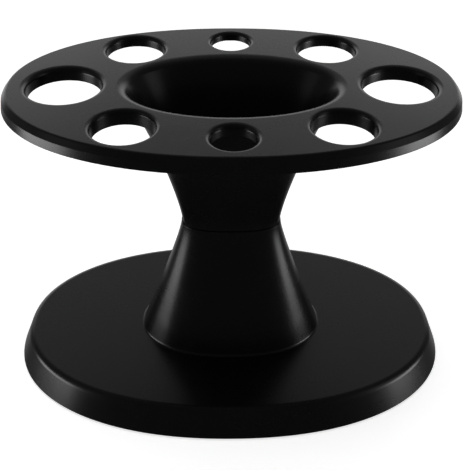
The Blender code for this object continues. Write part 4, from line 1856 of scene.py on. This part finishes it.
@dataclass
class Studio:
    """Floor, surroundings, lights and camera.

    Attributes:
        focal_px: The camera's focal length in pixels of the photograph's frame.
        frame_px: That frame's side.
        sensor_mm: The camera's sensor width.
        pitch: How far the camera looks down, in degrees.
        distance: The camera's distance in front of the axis.
        camera_height: Its height above the ground.
        centre_px: The column that its axis meets.
        bearing: The stand's turn against the camera, in degrees.
        roll: The camera's roll, in degrees.
        boxes: The softboxes.
        overhead_width: Width of the overhead light.
        overhead_depth: Its size from front to back.
        overhead_watts: Its power.
        overhead_place: Its place.
        overhead_tilt: Its turns about X and Y, in degrees.
        floor_reach: Half the floor's size.
        floor_colour: The floor's colour.
        floor_glow: How much whiter the camera sees the floor than its colour.
        behind: Brightness of the sweep right behind the stand, by the sine of the elevation.
        beside: The same for its two sides.
        aside: Where the one goes over into the other, by how squarely a direction points back.
        sweep: Where the sweep ends at its sides, by the same measure.
        low: How far it dims below the horizon, by the sine of the elevation.
        room: Brightness of the room round it, from the front to the back.
    """

    focal_px: float = 846.3
    frame_px: float = 470.0
    sensor_mm: float = 36.0
    pitch: float = 37.465
    distance: float = 416.13 * MM
    camera_height: float = 408.9 * MM
    centre_px: float = 231.07
    bearing: float = 1.115
    roll: float = 0.424
    boxes: tuple[Softbox, ...] = (
        Softbox("left_strip", -102.0, distance=0.80, height=0.04, width=0.48, tall=0.34, radiance=3.8),
        Softbox("right_strip", 104.0, distance=0.80, height=0.04, width=0.38, tall=0.34, radiance=3.8),
        Softbox("right_diffuser", 112.0, distance=0.82, height=0.30, width=0.34, tall=0.90, radiance=0.35),
        Softbox("left_diffuser", -112.0, distance=0.82, height=0.30, width=0.34, tall=0.90, radiance=0.15),
    )
    overhead_width: float = 0.9
    overhead_depth: float = 0.7
    overhead_watts: float = 4.2
    overhead_place: Point = (-0.15, 0.1, 1.1)
    overhead_tilt: Point2 = (5.0, -8.0)
    floor_reach: float = 4.0
    floor_colour: str = "#f2f2f2"
    floor_glow: float = 0.72
    behind: tuple[Point2, ...] = (
        (0.0, 0.95), (0.36, 0.95), (0.40, 0.75), (0.43, 0.26), (0.47, 0.12),
        (0.52, 0.07), (0.62, 0.31), (0.68, 0.29), (0.78, 0.1),
    )
    beside: tuple[Point2, ...] = (
        (0.0, 1.0), (0.38, 1.1), (0.42, 1.0), (0.45, 0.46), (0.48, 0.24),
        (0.53, 0.13), (0.62, 0.33), (0.68, 0.31), (0.78, 0.1),
    )
    aside: Fade = Fade(0.998, 0.966)
    sweep: Fade = Fade(0.55, 0.93)
    low: Fade = Fade(-0.45, -0.2, 0.25, 1.0)
    room: Fade = Fade(-0.7, 0.1, 0.045, 0.09)

    def build_floor(self) -> None:
        """Lays the pale floor, which reflections don't show and which throws no shadow."""
        side = self.floor_reach
        corners = [(-side, -side, 0.0), (side, -side, 0.0), (side, side, 0.0), (-side, side, 0.0)]
        mesh = bpy.data.meshes.new("floor")
        mesh.from_pydata(corners, [], [(0, 1, 2, 3)])
        floor = new_object("floor", mesh)
        made = bpy.data.materials.new("pale_floor")
        made.use_nodes = True
        tree = made.node_tree
        tree.nodes.clear()
        surface = add_node(tree, "ShaderNodeBsdfDiffuse", {"Color": linear(self.floor_colour)})
        glow = add_node(tree, "ShaderNodeEmission", {"Color": linear("#ffffff")})
        seen = add_node(tree, "ShaderNodeLightPath").outputs["Is Camera Ray"]
        level = add_node(tree, "ShaderNodeMath", {"operation": "MULTIPLY", 1: self.floor_glow}, {0: seen})
        tree.links.new(level.outputs[0], glow.inputs["Strength"])
        both = add_node(tree, "ShaderNodeAddShader", {}, {0: surface.outputs[0], 1: glow.outputs[0]})
        add_node(tree, "ShaderNodeOutputMaterial", {}, {0: both.outputs[0]})
        mesh.materials.append(made)
        floor.visible_glossy = False
        floor.visible_shadow = False

    def build_world(self) -> None:
        """Makes the world: white for the camera, and else a dim room with a bright sweep behind the stand."""
        world = bpy.data.worlds.new("studio")
        bpy.context.scene.world = world
        world.use_nodes = True
        tree = world.node_tree
        tree.nodes.clear()
        direction = add_node(tree, "ShaderNodeTexCoord").outputs["Generated"]
        x, y, z = add_node(tree, "ShaderNodeSeparateXYZ", {}, {0: direction}).outputs
        # How squarely a direction points back, whatever its elevation.
        square = add_node(tree, "ShaderNodeMath", {"operation": "MULTIPLY"}, {0: x, 1: x}).outputs[0]
        total = add_node(tree, "ShaderNodeMath", {"operation": "MULTIPLY_ADD"}, {0: y, 1: y, 2: square})
        flat = add_node(tree, "ShaderNodeMath", {"operation": "SQRT"}, {0: total.outputs[0]}).outputs[0]
        safe = add_node(tree, "ShaderNodeMath", {"operation": "MAXIMUM", 1: 0.001}, {0: flat}).outputs[0]
        back = add_node(tree, "ShaderNodeMath", {"operation": "DIVIDE"}, {0: y, 1: safe}).outputs[0]
        ramps = []
        for stops in (self.behind, self.beside):
            node = add_node(tree, "ShaderNodeValToRGB", {}, {"Fac": z})
            node.color_ramp.interpolation = "EASE"
            elements = node.color_ramp.elements
            for i, (position, level) in enumerate(stops):
                element = elements[i] if i < 2 else elements.new(position)
                element.position = position
                element.color = (level, level, level, 1.0)
            ramps.append(node.outputs[0])
        aside, sweep, low, room = (
            add_node(tree, "ShaderNodeMapRange", fade.settings(), {"Value": value}).outputs[0]
            for fade, value in ((self.aside, back), (self.sweep, back), (self.low, z), (self.room, back))
        )
        rise = add_node(tree, "ShaderNodeMix", {}, {0: aside, 2: ramps[0], 3: ramps[1]}).outputs[0]
        lobe = add_node(tree, "ShaderNodeMath", {"operation": "MULTIPLY"}, {0: sweep, 1: low}).outputs[0]
        glow = add_node(tree, "ShaderNodeMath", {"operation": "MULTIPLY"}, {0: lobe, 1: rise}).outputs[0]
        level = add_node(tree, "ShaderNodeMath", {"operation": "ADD"}, {0: glow, 1: room}).outputs[0]
        seen = add_node(tree, "ShaderNodeLightPath").outputs["Is Camera Ray"]
        shown = add_node(tree, "ShaderNodeMix", {3: 1.0}, {0: seen, 2: level}).outputs[0]
        plain = add_node(tree, "ShaderNodeBackground", {"Color": linear("#ffffff")}, {"Strength": shown})
        add_node(tree, "ShaderNodeOutputWorld", {}, {0: plain.outputs[0]})

    def build_light(self, name: str, width: float, depth: float, watts: float) -> bpy.types.Object:
        """Adds a rectangular light that the camera doesn't see.

        Args:
            name: Its name.
            width: Its width.
            depth: Its other size.
            watts: Its power.

        Returns:
            The light, at the origin.
        """
        light = bpy.data.lights.new(name, "AREA")
        light.shape = "RECTANGLE"
        light.size, light.size_y = width, depth
        light.energy = watts
        made = new_object(name, light)
        made.visible_camera = False
        return made

    def build_lights(self) -> None:
        """Stands the softboxes up and hangs the broad light that only lays the soft shadow on the floor."""
        for box in self.boxes:
            watts = box.radiance * math.pi * box.width * box.tall
            self.build_light(box.name, box.width, box.tall, watts).matrix_world = box.stance()
        above = self.build_light("overhead", self.overhead_width, self.overhead_depth, self.overhead_watts)
        above.location = self.overhead_place
        above.rotation_euler = (*(math.radians(tilt) for tilt in self.overhead_tilt), 0.0)
        above.visible_glossy = False

    def build_camera(self) -> None:
        """Sets the camera up at the photograph's place."""
        data = bpy.data.cameras.new("camera")
        data.sensor_width = self.sensor_mm
        data.lens = self.sensor_mm * self.focal_px / self.frame_px
        data.shift_x = (self.frame_px / 2.0 - self.centre_px) / self.frame_px
        data.clip_start = 10.0 * MM
        made = new_object("camera", data)
        made.matrix_world = (
            Matrix.Rotation(-math.radians(self.bearing), 4, "Z")
            @ Matrix.Translation((0.0, -self.distance, self.camera_height))
            @ Matrix.Rotation(math.radians(90.0 - self.pitch), 4, "X")
            @ Matrix.Rotation(math.radians(self.roll), 4, "Z")
        )
        bpy.context.scene.camera = made

    def build(self) -> None:
        """Builds the whole studio."""
        self.build_floor()
        self.build_world()
        self.build_lights()
        self.build_camera()
        bpy.context.scene.view_settings.view_transform = "Standard"


def main() -> None:
    """Builds the stand's pieces and the studio round them."""
    logging.basicConfig(level=logging.INFO, format="%(name)s: %(message)s")
    trees, levels = Trees(), Levels()
    satin, textured = SATIN_BLACK.material(), TEXTURED_BLACK.material()
    UpperShell(trees, levels).build(satin)
    pedestal = Pedestal(trees, levels)
    pedestal.build(satin)
    underside = Underside(trees, levels, pedestal)
    underside.build_cover(textured)
    underside.build_feet(RUBBER.material())
    underside.build_fasteners(ZINC.material())
    underside.build_ballast(BLACK_OXIDE.material())
    Studio().build()


if __name__ == "__main__":
    main()
